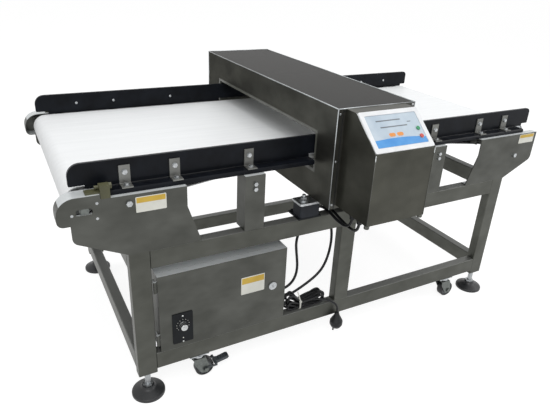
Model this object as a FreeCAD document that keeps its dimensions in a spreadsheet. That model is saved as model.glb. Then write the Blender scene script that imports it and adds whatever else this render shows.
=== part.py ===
"""Conveyor metal detector: belt conveyor through a detector head, on a tube frame.

Axes: +X along the belt, +Y away from the operator, +Z up, floor at z = 0.
Lengths are millimetres.  Places are worked out from the middle of the tube frame,
and every placement adds the shift that puts the origin under the whole machine.
"""
import FreeCAD, Part
import math
import os

import Sketcher

Vec = FreeCAD.Vector
Turn = FreeCAD.Rotation
ALONG = {"x": Turn(Vec(0, 1, 0), 90), "y": Turn(Vec(1, 0, 0), -90), "z": Turn()}

doc = FreeCAD.newDocument("conveyor_metal_detector")
sheet = doc.addObject("Spreadsheet::Sheet", "Sizes")

SIZES = {
    # tube frame
    "frame_length": 1258, "frame_width": 711, "frame_top": 440, "leg_bottom": 70,
    "rail_bottom": 81, "tube_wide": 50, "tube_thin": 30, "tube_wall": 2,
    "tube_round": 3, "sheet_gauge": 3, "fit_gap": 0.3,
    # levelling feet
    "foot_pad": 88, "foot_pad_height": 25, "foot_stem": 16, "foot_stem_top": 125,
    "foot_nut": 24, "foot_nut_height": 12, "foot_plug": 10,
    # casters
    "caster_x": 462, "caster_trail": 16, "caster_wheel": 54, "caster_tread": 24,
    "caster_lift": 2, "caster_fork": 34, "caster_cheek": 3, "caster_plate": 3,
    "caster_axle": 8, "caster_plate_long": 56, "race_height": 5, "caster_stud": 10,
    "stud_length": 14, "fork_gap": 8, "fork_eye": 11, "pedal_reach": 70,
    "pedal_width": 18, "pedal_arm": 2,
    # belt and rollers
    "belt_top": 604, "belt_width": 600, "belt_thick": 2, "roller_x": 712,
    "roller_drop": 36, "idler_x": 307, "idler_dia": 20, "idler_z": 572,
    "shaft_dia": 20, "idler_axle": 8, "roller_wall": 3, "shaft_flat": 13,
    "shaft_tongue": 15, "roller_short": 4, "roller_disc": 6, "bearing_flange": 38,
    "bearing_boss": 30, "bearing_deep": 15, "bearing_plate": 6,
    # belt bed
    "bed_sheet": 2, "board_thick": 12, "bed_end": 676, "tie_x": 502,
    "tie_width": 30, "tie_height": 22, "bearer_thick": 4, "bearer_width": 50,
    "bed_rail_width": 40, "bed_rail_thick": 11, "bed_rail_in": 130,
    "bed_rail_out": 690, "bed_rail_gap": 3, "spreader_dia": 16, "spreader_left": 618,
    "spreader_left_z": 571, "spreader_right": 657, "spreader_right_z": 519,
    # side plates and posts
    "plate_out": 744, "plate_in": 484, "plate_foot_out": 626, "plate_foot_in": 450,
    "plate_corner_z": 496, "plate_waist_z": 539, "plate_flange": 22,
    "post_in": 280, "post_width": 55, "post_depth": 50,
    # guides
    "guide_end": 735, "guide_thick": 8, "guide_height": 50, "guide_gap": 8,
    "guide_lift": 8, "guide_round": 28, "bracket_inner": 310, "bracket_middle": 500,
    "bracket_outer": 615, "bracket_bolt": 30, "post_bolt_low": 554, "post_bolt_high": 568,
    "bracket_width": 25, "bracket_height": 46, "bracket_gauge": 3,
    "bolt_flats": 10, "bolt_head": 5,
    # end guards and take-ups
    "guard_left": 771, "guard_right": 678, "guard_bottom": 539, "guard_top": 603,
    "guard_width": 38, "guard_gauge": 2, "guard_round": 40,
    "block_long": 21, "block_tall": 29, "block_deep": 22, "strap_wide": 22,
    "strap_long": 30, "strap_thick": 4, "takeup_screw": 8, "takeup_height": 23,
    # detector head
    "head_half": 120, "head_near": 412.7, "head_far": 428.2, "head_bottom": 487,
    "head_top": 755, "head_wall": 3, "head_strip": 14, "aperture_half": 322,
    "aperture_bottom": 570, "aperture_top": 670, "liner_wall": 8,
    "coil_deep": 12, "coil_long": 8, "coil_step": 60,
    # head mounts
    "mount_x": 140, "mount_y": 335, "mount_plate_long": 70, "mount_plate_wide": 60,
    "mount_plate": 4, "mount_rubber_long": 62, "mount_rubber_wide": 44,
    "head_foot": 6, "plate_inset": 7, "mount_bolt_x": 26, "mount_bolt_far": 16,
    "mount_bolt_y": 306, "mount_stud": 10, "mount_stud_x": 10,
    # control box
    "control_left": 98, "control_right": 83, "control_front": 544.7,
    "control_bottom": 495, "control_brow": 678, "control_back": 456,
    "control_top": 754.5, "control_gauge": 2, "bezel_thick": 3, "bezel_edge": 12,
    "screen_thick": 2, "key_dia": 11, "key_height": 2, "key_travel": 0.6,
    # cabinet
    "cabinet_left": 567, "cabinet_right": 204, "cabinet_top": 362,
    "cabinet_back": 195, "door_deep": 20, "cabinet_gauge": 2, "hinge_x": 573,
    "hinge_y": 354, "hinge_barrel": 8, "hinge_pin": 5, "hinge_tall": 16,
    "hinge_low": 155, "hinge_high": 318, "lock_x": 245, "lock_z": 250,
    "lock_dia": 18, "speed_x": 507, "speed_z": 202, "speed_knob": 22,
    "speed_plate_long": 55, "speed_plate_tall": 94,
    # belt drive
    "motor_x": 600, "motor_z": 490, "motor_size": 80, "motor_length": 130,
    "gearhead_length": 70, "motor_shaft": 14, "pulley_dia": 50, "pulley_y": 312,
    "pulley_clear": 20, "groove_depth": 7, "groove_slope": 2, "fan_cover": 18,
    "pulley_width": 14, "vbelt_width": 10, "vbelt_thick": 6, "bracket_plate": 5,
    # cables
    "cable_dia": 8, "lead_dia": 7, "gland_flats": 18, "gland_nut": 5, "gland_length": 15,
    "gland_x": 85, "signal_y": 470, "power_y": 500, "signal_z": 185, "power_z": 155,
    "inlet_y": 300, "mains_y": 334, "mains_z": 160, "hank_front": 354, "hank_deep": 40,
    "plug_dia": 40, "plug_x": 20, "plug_y": 372, "plug_bottom": 46, "pin_dia": 4.8,
    "pin_length": 12, "pin_pitch": 18,
}


class Size:
    """A length together with the spreadsheet formula that gives it."""

    def __init__(self, value, text):
        self.value = float(value)
        self.text = text

    def __float__(self):
        return self.value

    def __neg__(self):
        return Size(-self.value, f"-({self.text})")

    def __add__(self, other):
        return Size(self.value + float(other), f"({self.text} + {formula(other)})")

    def __radd__(self, other):
        return Size(float(other) + self.value, f"({formula(other)} + {self.text})")

    def __sub__(self, other):
        return Size(self.value - float(other), f"({self.text} - {formula(other)})")

    def __rsub__(self, other):
        return Size(float(other) - self.value, f"({formula(other)} - {self.text})")

    def __mul__(self, other):
        return Size(self.value * float(other), f"({self.text} * {formula(other)})")

    def __rmul__(self, other):
        return Size(float(other) * self.value, f"({formula(other)} * {self.text})")

    def __truediv__(self, other):
        return Size(self.value / float(other), f"({self.text} / {formula(other)})")


def formula(size):
    return size.text if isinstance(size, Size) else repr(float(size))


def hypotenuse(a, b):
    return Size(math.hypot(float(a), float(b)), f"sqrt({formula(a)} ^ 2 + {formula(b)} ^ 2)")


for row, (alias, number) in enumerate(SIZES.items(), start=1):
    sheet.set(f"A{row}", alias)
    sheet.set(f"B{row}", str(number))
    sheet.setAlias(f"B{row}", alias)
doc.recompute()


class Named:
    """The sheet's sizes by name, each with its formula."""

    def __getattr__(self, alias):
        return Size(SIZES[alias], f"Sizes.{alias}")


s = Named()

# ---------------------------------------------------------------- levels and planes
FRAME_X = s.frame_length / 2
FRAME_Y = s.frame_width / 2
RAIL_TOP = s.rail_bottom + s.tube_wide
ROLLER_Z = s.belt_top - s.roller_drop
ROLLER_R = s.roller_drop - s.belt_thick - s.fit_gap
BED_TOP = s.belt_top - s.belt_thick
BEARER_TOP = BED_TOP - s.board_thick
SEAT_Z = BED_TOP - s.bed_rail_thick          # top of the plates and posts
PLATE_INNER = FRAME_Y - s.sheet_gauge
BED_RAIL_Y = s.belt_width / 2 + s.bed_rail_gap  # inner edge of the black side rails
GUIDE_Y = s.belt_width / 2 + s.guide_gap     # inner face of the guides
GUIDE_Z = s.belt_top + s.guide_lift
CABINET_Y = FRAME_Y - s.door_deep            # joint between cabinet and door
HEAD_FACE = -s.head_near
MOTOR_FLANGE_Y = s.pulley_y - s.pulley_clear             # far face of the motor bracket's upright
SHIFT_X = (s.guard_left - s.roller_x - s.roller_drop) / 2
SHIFT_Y = (s.control_front - s.head_far) / 2

nodes = {}


def node(name, thing):
    thing.Label = name
    nodes[name] = thing
    return thing


def bind(thing, path, size):
    thing.setExpression(path, formula(size))


def place(thing, x, y, z, turn=None):
    """Put a thing at a place of the frame, after an optional fixed turn."""
    thing.Placement = FreeCAD.Placement(Vec(), turn or Turn())
    bind(thing, "Placement.Base.x", SHIFT_X + x)
    bind(thing, "Placement.Base.y", SHIFT_Y + y)
    bind(thing, "Placement.Base.z", z)
    return thing


def box(length, width, height, x, y, z):
    """Block with its lowest corner at x, y, z."""
    block = doc.addObject("Part::Box", "block")
    bind(block, "Length", length)
    bind(block, "Width", width)
    bind(block, "Height", height)
    return place(block, x, y, z)


def slab(x0, x1, y0, y1, z0, z1):
    """Block between two values on each axis."""
    return box(x1 - x0, y1 - y0, z1 - z0, x0, y0, z0)


def rod(diameter, length, x, y, z, along="z"):
    bar = doc.addObject("Part::Cylinder", "rod")
    bind(bar, "Radius", diameter / 2)
    bind(bar, "Height", length)
    return place(bar, x, y, z, ALONG[along])


def hexagon(flats, length, x, y, z, along="z"):
    head = doc.addObject("Part::Prism", "hexagon")
    head.Polygon = 6
    bind(head, "Circumradius", flats / math.sqrt(3))
    bind(head, "Height", length)
    return place(head, x, y, z, ALONG[along])


def group(*pieces):
    bundle = doc.addObject("Part::Compound", "group")
    bundle.Links = list(pieces)
    return bundle


def fuse(*pieces):
    whole = doc.addObject("Part::MultiFuse", "fused")
    whole.Shapes = list(pieces)
    whole.Refine = True
    return whole


def cut(base, *tools):
    result = doc.addObject("Part::Cut", "cut")
    result.Base = base
    result.Tool = tools[0] if len(tools) == 1 else fuse(*tools)
    return result


# ---------------------------------------------------------------- sketched bodies
def new_body(name):
    return doc.addObject("PartDesign::Body", name)


def origin_plane(body, role):
    for plane in body.Origin.OriginFeatures:
        if plane.Role == role:
            return plane
    raise ValueError(role)


def corner_arc(before, corner, after, radius):
    """Ends and middle of the arc that rounds a corner."""
    to_before = (before - corner).normalize()
    to_after = (after - corner).normalize()
    half = to_before.getAngle(to_after) / 2
    start = corner + to_before * (radius / math.tan(half))
    end = corner + to_after * (radius / math.tan(half))
    centre = corner + (to_before + to_after).normalize() * (radius / math.sin(half))
    middle = centre + (corner - centre).normalize() * radius
    return start, middle, end


def outline(sketch, corners):
    """Closed outline of lines; a corner with a third value is rounded by it."""
    points = [Vec(float(c[0]), float(c[1]), 0) for c in corners]
    radii = [c[2] if len(c) == 3 else None for c in corners]
    count = len(points)
    leave, arrive, arcs = {}, {}, {}
    for i, radius in enumerate(radii):
        leave[i] = arrive[i] = points[i]
        if radius is not None:
            start, middle, end = corner_arc(
                points[i - 1], points[i], points[(i + 1) % count], float(radius))
            arrive[i], leave[i] = start, end
            turn = (points[i] - start).cross(end - points[i]).z
            if turn < 0:                         # arcs run anticlockwise in a sketch
                start, end = end, start
            arc = Part.Arc(start, middle, end)
            arcs[i] = (sketch.addGeometry(arc, False), 1 if turn > 0 else 2)
    lines = {}
    for i in range(count):
        following = (i + 1) % count
        line = Part.LineSegment(leave[i], arrive[following])
        lines[i] = sketch.addGeometry(line, False)

    ties, driven = [], []

    def tie(*constraint, size=None):
        ties.append(Sketcher.Constraint(*constraint))
        if isinstance(size, Size):
            driven.append((len(ties) - 1, size.text))

    def locate_x(geometry, size):
        tie("DistanceX", -1, 1, geometry, 1, float(size), size=size)

    def locate_y(geometry, size):
        tie("DistanceY", -1, 1, geometry, 1, float(size), size=size)

    level, upright = {}, {}
    for i in range(count):
        run = points[(i + 1) % count] - points[i]
        level[i] = abs(run.y) < 1e-7
        upright[i] = abs(run.x) < 1e-7
        if level[i]:
            tie("Horizontal", lines[i])
            locate_y(lines[i], corners[i][1])
        elif upright[i]:
            tie("Vertical", lines[i])
            locate_x(lines[i], corners[i][0])
    for i in range(count):
        before = (i - 1) % count
        incoming, outgoing = lines[before], lines[i]
        slopes = [line for line in (before, i) if not (level[line] or upright[line])]
        if radii[i] is None:
            tie("Coincident", incoming, 2, outgoing, 1)
            if slopes and not (level[before] or level[i]):
                locate_y(outgoing, corners[i][1])
            if slopes and not (upright[before] or upright[i]):
                locate_x(outgoing, corners[i][0])
            continue
        arc, at_start = arcs[i]
        tie("Tangent", incoming, 2, arc, at_start)
        tie("Tangent", outgoing, 1, arc, 3 - at_start)
        tie("Radius", arc, float(radii[i]), size=radii[i])
        if slopes:
            apex = sketch.addGeometry(Part.Point(points[i]), True)
            locate_x(apex, corners[i][0])
            locate_y(apex, corners[i][1])
            for line in slopes:
                tie("PointOnObject", apex, 1, lines[line])
    start = sketch.ConstraintCount
    sketch.addConstraint(ties)
    for index, text in driven:
        sketch.setExpression(f"Constraints[{start + index}]", text)


def sketch_on(body, role, *outlines):
    sketch = body.newObject("Sketcher::SketchObject", body.Name + "_sketch")
    sketch.AttachmentSupport = [(origin_plane(body, role), "")]
    sketch.MapMode = "FlatFace"
    for corners in outlines:
        outline(sketch, corners)
    return sketch


def pad(body, role, length, *outlines, both_ways=False, back=False):
    """Pad one or more outlines drawn on an origin plane."""
    feature = body.newObject("PartDesign::Pad", body.Name + "_pad")
    feature.Profile = sketch_on(body, role, *outlines)
    bind(feature, "Length", length)
    feature.Midplane = both_ways
    feature.Reversed = back
    return feature


def pocket(body, role, length, *outlines, both_ways=False, back=False):
    feature = body.newObject("PartDesign::Pocket", body.Name + "_pocket")
    feature.Profile = sketch_on(body, role, *outlines)
    bind(feature, "Length", length)
    feature.Midplane = both_ways
    feature.Reversed = back
    return feature


def revolve(name, corners):
    """Body turned about its own Z axis from a half section of (radius, z) corners."""
    body = new_body(name)
    feature = body.newObject("PartDesign::Revolution", name + "_turned")
    sketch = sketch_on(body, "XZ_Plane", corners)
    feature.Profile = sketch
    feature.ReferenceAxis = (sketch, ["V_Axis"])
    feature.Angle = 360
    return body


def rectangle(half_x, half_y, radius=None):
    corners = [(-half_x, -half_y), (half_x, -half_y), (half_x, half_y), (-half_x, half_y)]
    return [c if radius is None else (*c, radius) for c in corners]


def tube(name, role, length, half_x, half_y):
    """Rectangular tube with rounded corners, padded from an origin plane."""
    body = new_body(name)
    inner = rectangle(half_x - s.tube_wall, half_y - s.tube_wall)
    pad(body, role, length, rectangle(half_x, half_y, s.tube_round), inner)
    return body


# ---------------------------------------------------------------- belts and cables
def band(stations, thick, width):
    """Endless band round circles: (x, z, radius of the band's outer surface).

    The circles are met clockwise seen from -Y; a negative radius is a circle
    outside the loop, which the band's outer surface rides on.
    """
    def tangent_wire(inset):
        circles = [(Vec(x, 0, z), r - inset) for x, z, r in stations]
        headings = []
        for (c1, r1), (c2, r2) in zip(circles, circles[1:] + circles[:1]):
            step = c2 - c1
            headings.append(math.atan2(step.z, step.x) - math.asin((r1 - r2) / step.Length))
        edges = []
        for i, (centre, radius) in enumerate(circles):
            into, out = headings[i - 1], headings[i]
            bend = (out - into) % (2 * math.pi)
            if radius > 0:
                bend -= 2 * math.pi
            touch = [centre + Vec(-math.sin(a), 0, math.cos(a)) * radius
                     for a in (into, into + bend / 2, out)]
            edges.append((touch, Part.Arc(*touch).toShape()))
        wire = []
        for (touch, arc), (following, _) in zip(edges, edges[1:] + edges[:1]):
            wire.append(arc)
            wire.append(Part.LineSegment(touch[2], following[0]).toShape())
        return Part.Wire(wire)

    ring = Part.Face(tangent_wire(0)).cut(Part.Face(tangent_wire(thick)))
    return ring.extrude(Vec(0, width, 0))


def made(name, shape, moved=(0, 0, 0)):
    """Feature with a shape worked out above, put at its place afterwards."""
    feature = doc.addObject("Part::Feature", name)
    feature.Shape = shape
    place(feature, *moved)
    return feature


def cable(name, diameter, points):
    """Tube along straight runs joined by the largest tangent arcs they allow."""
    points = [Vec(*p) for p in points]
    edges, corners, here = [], [], points[0]
    for before, corner, after in zip(points, points[1:], points[2:]):
        run = min((corner - before).Length, (after - corner).Length)
        turn = (corner - before).getAngle(after - corner)
        radius = 0.45 * run / math.tan(turn / 2)
        start, middle, end = corner_arc(before, corner, after, radius)
        edges.append(Part.LineSegment(here, start).toShape())
        edges.append(Part.Arc(start, middle, end).toShape())
        corners.append(radius)
        here = end
    edges.append(Part.LineSegment(here, points[-1]).toShape())
    path = Part.Wire(edges)
    section = Part.Wire(Part.Circle(points[0], points[1] - points[0], diameter / 2).toShape())
    solid = path.makePipeShell([section], True, False)
    true_volume = math.pi * diameter ** 2 / 4 * path.Length
    print(f"{name}: length {path.Length:.0f}, least radius {min(corners):.0f},"
          f" volume ratio {solid.Volume / true_volume:.4f}")
    return made(name, solid)


# ---------------------------------------------------------------- tube frame
def frame_tubes():
    leg_x = FRAME_X - s.tube_wide / 2
    leg_y = FRAME_Y - s.tube_thin / 2
    leg_height = s.frame_top - s.leg_bottom
    legs, rails = [], []
    for sx in (-1, 1):
        for sy in (-1, 1):
            leg = tube("corner_leg", "XY_Plane", leg_height, s.tube_wide / 2, s.tube_thin / 2)
            legs.append(place(leg, leg_x * sx, leg_y * sy, s.leg_bottom))
            plug = box(s.tube_wide - s.tube_wall * 2, s.tube_thin - s.tube_wall * 2, s.foot_plug,
                       leg_x * sx - s.tube_wide / 2 + s.tube_wall,
                       leg_y * sy - s.tube_thin / 2 + s.tube_wall, s.leg_bottom)
            bore = rod(s.foot_stem + s.fit_gap * 2, s.foot_plug * 3, leg_x * sx, leg_y * sy,
                       s.leg_bottom - s.foot_plug)
            legs.append(cut(plug, bore))
    for sy in (-1, 1):
        middle = tube("middle_leg", "XY_Plane", s.frame_top - s.tube_wide - RAIL_TOP,
                      s.tube_wide / 2, s.tube_thin / 2)
        legs.append(place(middle, 0, leg_y * sy, RAIL_TOP))
    node("legs", group(*legs))

    long_run = s.frame_length - s.tube_wide * 2
    cross_run = s.frame_width - s.tube_thin * 2
    for level in (s.rail_bottom, s.frame_top - s.tube_wide):
        for side in (-1, 1):
            long_rail = tube("long_rail", "YZ_Plane", long_run, s.tube_thin / 2, s.tube_wide / 2)
            rails.append(place(long_rail, -long_run / 2, leg_y * side, level + s.tube_wide / 2))
            cross = tube("cross_rail", "XZ_Plane", cross_run, s.tube_thin / 2, s.tube_wide / 2)
            rails.append(place(cross, (FRAME_X - s.tube_thin / 2) * side, cross_run / 2,
                               level + s.tube_wide / 2))
    node("rails", group(*rails))


def levelling_feet():
    pad_height = s.foot_pad_height
    for side, sx in (("left", -1), ("right", 1)):
        for depth, sy in (("near", -1), ("far", 1)):
            x = (FRAME_X - s.tube_wide / 2) * sx
            y = (FRAME_Y - s.tube_thin / 2) * sy
            pad_body = revolve("foot_pad", [
                (0, 0), (s.foot_pad / 2, 0), (s.foot_pad / 2, pad_height * 0.3, 4),
                (s.foot_stem * 1.25, pad_height * 0.75, 10), (s.foot_stem, pad_height),
                (0, pad_height)])
            stem = rod(s.foot_stem, s.foot_stem_top - pad_height, x, y, pad_height)
            nut = hexagon(s.foot_nut, s.foot_nut_height * 0.6, x, y, pad_height)
            node(f"foot_{depth}_{side}", group(place(pad_body, x, y, 0), fuse(stem, nut)))


# ---------------------------------------------------------------- casters
def casters():
    wheel_r = s.caster_wheel / 2
    axle_z = s.caster_lift + wheel_r
    plate_z = s.rail_bottom - s.caster_plate
    fork_top = plate_z - s.fork_gap
    caster_y = FRAME_Y - s.tube_thin / 2
    cheek_gap = s.caster_fork - s.caster_cheek * 2
    plates = []
    for side, sx in (("left", -1), ("right", 1)):
        for depth, sy in (("near", -1), ("far", 1)):
            x, y = s.caster_x * sx, caster_y * sy
            wheel_x = x + s.caster_trail
            reach = s.caster_plate_long / 2
            top = slab(x - reach, x + reach, y - s.tube_thin / 2, y + s.tube_thin / 2,
                       plate_z, s.rail_bottom)
            race_z = plate_z - s.race_height
            race = rod(s.caster_fork, s.race_height, x, y, race_z)
            stud = rod(s.caster_stud, s.stud_length, x, y, race_z - s.stud_length)
            plates.append(fuse(top, race, stud))

            fork = new_body("fork")
            rear = s.caster_fork / 2
            pad(fork, "XZ_Plane", s.caster_fork, [
                (-rear, fork_top, 3), (rear, fork_top, 3),
                (s.caster_trail + s.fork_eye, axle_z + s.caster_axle),
                (s.caster_trail + s.fork_eye, axle_z - s.fork_eye, 10),
                (s.caster_trail - s.fork_eye, axle_z - s.fork_eye, 10), (-rear, fork_top - 16)],
                both_ways=True)
            pocket(fork, "XZ_Plane", cheek_gap, [
                (-rear - 1, fork_top - s.caster_cheek), (s.caster_trail + 30, fork_top - s.caster_cheek),
                (s.caster_trail + 30, axle_z - 30), (-rear - 1, axle_z - 30)], both_ways=True)
            place(fork, x, y, 0)
            pivot = rod(s.caster_stud + s.fit_gap * 2, s.stud_length * 3, x, y, fork_top - 20)
            axle_hole = rod(s.caster_axle, s.caster_fork + 10, wheel_x, y - s.caster_fork / 2 - 5,
                            axle_z, "y")
            seat = s.caster_fork / 2
            if sx < 0:
                seat = seat + s.pedal_arm + s.fit_gap * 2
            axle = rod(s.caster_axle, seat * 2, wheel_x, y - seat, axle_z, "y")
            heads = [hexagon(s.caster_axle * 1.6, 4, wheel_x, y + offset, axle_z, "y")
                     for offset in (-seat - 4, seat)]
            node(f"caster_fork_{depth}_{side}",
                 group(cut(fork, pivot, axle_hole), fuse(axle, *heads)))

            half = s.caster_tread / 2
            bore = s.caster_axle / 2 + s.fit_gap
            wheel = revolve("wheel", [
                (bore, -half - 0.7), (bore + 5, -half - 0.7), (bore + 6, -half + 4),
                (wheel_r - 7, -half + 4), (wheel_r - 6, -half), (wheel_r, -half, 4),
                (wheel_r, half, 4), (wheel_r - 6, half), (wheel_r - 7, half - 4),
                (bore + 6, half - 4), (bore + 5, half + 0.7), (bore, half + 0.7)])
            place(wheel, wheel_x, y, axle_z, ALONG["y"])
            node(f"caster_wheel_{depth}_{side}", wheel)

            if sx < 0:
                pedal = new_body("pedal")
                heel = s.caster_trail + wheel_r + 1.5
                tip = s.caster_trail + s.pedal_reach
                pad(pedal, "XZ_Plane", s.pedal_width, [
                    (heel, axle_z + 2), (heel + 6, axle_z - 1), (tip, axle_z + 5),
                    (tip + 5, axle_z + 11, 2), (tip - 2, axle_z + 15, 2), (heel + 14, axle_z + 9),
                    (heel, axle_z + 12)], both_ways=True)
                place(pedal, x, y, 0)
                reach = s.caster_fork / 2 + s.fit_gap
                bar = slab(x + heel, x + heel + 6, y - reach - s.pedal_arm,
                           y + reach + s.pedal_arm, axle_z + 3, axle_z + 10)
                arms = []
                for inner in (-reach - s.pedal_arm, reach):
                    arms.append(rod(14, s.pedal_arm, wheel_x, y + inner, axle_z, "y"))
                    arms.append(slab(wheel_x, x + heel + 6, y + inner, y + inner + s.pedal_arm,
                                     axle_z + 1, axle_z + 7))
                eye = rod(s.caster_axle + s.fit_gap * 2, s.caster_fork * 2, wheel_x,
                          y - s.caster_fork, axle_z, "y")
                ridges = [slab(x + heel + 16 + 8 * k, x + heel + 20 + 8 * k,
                               y - s.pedal_width / 2 + 2, y + s.pedal_width / 2 - 2,
                               axle_z + 9, axle_z + 13 + 0.9 * k) for k in range(4)]
                node(f"brake_pedal_{depth}", cut(fuse(pedal, bar, *arms, *ridges), eye))
    node("caster_plates", group(*plates))


# ---------------------------------------------------------------- side plates and bed
def side_plates():
    plates = []
    for sx in (-1, 1):
        for sy in (-1, 1):
            body = new_body("side_plate")
            web = [(s.plate_out * sx, SEAT_Z), (s.plate_out * sx, s.plate_corner_z, 18),
                   (s.plate_foot_out * sx, s.frame_top), (s.plate_foot_in * sx, s.frame_top),
                   (s.plate_in * sx, s.plate_waist_z, 12), (s.plate_in * sx, SEAT_Z)]
            top = [(s.plate_out * sx, SEAT_Z), (s.plate_in * sx, SEAT_Z),
                   (s.plate_in * sx, SEAT_Z - s.sheet_gauge),
                   (s.plate_out * sx, SEAT_Z - s.sheet_gauge)]
            foot_top = s.frame_top + s.sheet_gauge
            foot = [((s.plate_foot_out - 8) * sx, foot_top), ((s.plate_foot_in + 8) * sx, foot_top),
                    ((s.plate_foot_in + 8) * sx, s.frame_top),
                    ((s.plate_foot_out - 8) * sx, s.frame_top)]
            near = sy < 0
            pad(body, "XZ_Plane", s.sheet_gauge, web, back=near)
            pad(body, "XZ_Plane", s.plate_flange, top, back=near)
            pad(body, "XZ_Plane", s.plate_flange, foot, back=near)
            place(body, 0, FRAME_Y * sy, 0)
            if sx < 0:
                slot_y = PLATE_INNER * sy - 2 * s.sheet_gauge
                slot = slab(-s.roller_x - 18, -s.roller_x + 18, slot_y, slot_y + 4 * s.sheet_gauge,
                            ROLLER_Z - s.shaft_flat / 2, ROLLER_Z + s.shaft_flat / 2)
                plates.append(cut(body, slot))
            else:
                plates.append(body)
    node("side_plates", group(*plates))


def posts():
    pieces = []
    gauge = s.sheet_gauge
    for sx in (-1, 1):
        for sy in (-1, 1):
            body = new_body("post")
            inner, outer = s.post_in * sx, (s.post_in + s.post_width) * sx
            out, back = FRAME_Y * sy, (FRAME_Y - s.post_depth) * sy
            pad(body, "XY_Plane", SEAT_Z - s.frame_top - gauge, [
                (inner, out), (outer, out), (outer, back), (outer - gauge * sx, back),
                (outer - gauge * sx, out - gauge * sy), (inner + gauge * sx, out - gauge * sy),
                (inner + gauge * sx, back), (inner, back)])
            place(body, 0, 0, s.frame_top)
            left = s.post_in if sx > 0 else -s.post_in - s.post_width
            low = (FRAME_Y - s.post_depth) if sy > 0 else -FRAME_Y
            cap = box(s.post_width, s.post_depth, gauge, left, low, SEAT_Z - gauge)
            pieces.append(fuse(body, cap))
    node("bed_posts", group(*pieces))


def bed():
    pieces = []
    tie_end = FRAME_Y - s.plate_flange
    bearer_end = FRAME_Y - s.post_depth
    gauge = s.sheet_gauge
    for sx in (-1, 1):
        tie_left = s.tie_x * sx - s.tie_width / 2
        tie_low = BEARER_TOP - s.tie_height
        tie = slab(tie_left, tie_left + s.tie_width, -tie_end, tie_end, tie_low, BEARER_TOP)
        hollow = slab(tie_left + gauge, tie_left + s.tie_width - gauge, -tie_end, tie_end,
                      tie_low, BEARER_TOP - gauge)
        pieces.append(cut(tie, hollow))
        middle = (s.post_in + s.post_width / 2) * sx
        pieces.append(slab(middle - s.bearer_width / 2, middle + s.bearer_width / 2, -bearer_end,
                           bearer_end, BEARER_TOP - s.bearer_thick, BEARER_TOP))
    for x, z in ((-s.spreader_left, s.spreader_left_z), (s.spreader_right, s.spreader_right_z)):
        pieces.append(rod(s.spreader_dia, PLATE_INNER * 2, x, -PLATE_INNER, z, "y"))
    pieces.append(motor_bracket())
    node("bed_bearers", group(*pieces))

    split = s.post_in + s.post_width / 2
    half = s.belt_width / 2
    node("slider_board", slab(-split, split, -half, half, BEARER_TOP, BED_TOP))
    sheets = []
    for sx in (-1, 1):
        body = new_body("bed_sheet")
        low, high = BED_TOP - s.board_thick, BED_TOP
        pad(body, "XZ_Plane", s.belt_width, [
            (split * sx, low), (split * sx, high), (s.bed_end * sx, high), (s.bed_end * sx, low),
            ((s.bed_end - s.bed_sheet) * sx, low), ((s.bed_end - s.bed_sheet) * sx, high - s.bed_sheet),
            ((s.tie_x + 1) * sx, high - s.bed_sheet), ((s.tie_x + 1) * sx, low),
            ((s.tie_x - 1) * sx, low), ((s.tie_x - 1) * sx, high - s.bed_sheet),
            ((split + s.bed_sheet) * sx, high - s.bed_sheet), ((split + s.bed_sheet) * sx, low)],
            both_ways=True)
        sheets.append(place(body, 0, 0, 0))
    node("bed_sheets", group(*sheets))

    rails = []
    for sx in (-1, 1):
        for sy in (-1, 1):
            body = new_body("bed_rail")
            inner, outer = BED_RAIL_Y * sy, (BED_RAIL_Y + s.bed_rail_width) * sy
            end = s.bed_rail_out if sx > 0 else s.guard_right - 1 - s.block_long
            length = end - s.bed_rail_in
            groove = outer - 5 * sy
            pad(body, "YZ_Plane", length, [
                (inner, SEAT_Z), (outer, SEAT_Z), (outer, BED_TOP - 3), (outer - 3 * sy, BED_TOP),
                (groove, BED_TOP), (groove, BED_TOP - 1.5), (groove - 2 * sy, BED_TOP - 1.5),
                (groove - 2 * sy, BED_TOP), (inner, BED_TOP)])
            start = s.bed_rail_in if sx > 0 else -end
            rails.append(place(body, start, 0, 0))
    node("bed_rails", group(*rails))


# ---------------------------------------------------------------- belt and rollers
def belt():
    outer_r = float(s.roller_drop)
    idler_r = -float(s.idler_dia) / 2 - float(s.fit_gap)
    roller_x, roller_z = float(s.roller_x), float(ROLLER_Z)
    idler_x, idler_z = float(s.idler_x), float(s.idler_z)
    loop = band([(roller_x, roller_z, outer_r), (idler_x, idler_z, idler_r),
                 (-idler_x, idler_z, idler_r), (-roller_x, roller_z, outer_r)],
                float(s.belt_thick), float(s.belt_width))
    node("belt", made("belt", loop, (0, -s.belt_width / 2, 0)))


def roller(name, x, z, outer, bore, length):
    """Shell with an end disc at each end, bored for its axle."""
    half = length / 2
    disc = s.roller_disc
    body = revolve(name, [
        (bore, -half), (outer, -half, 1.5), (outer, half, 1.5), (bore, half), (bore, half - disc),
        (outer - s.roller_wall, half - disc), (outer - s.roller_wall, -half + disc),
        (bore, -half + disc)])
    return place(body, x, 0, z, ALONG["y"])


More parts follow.
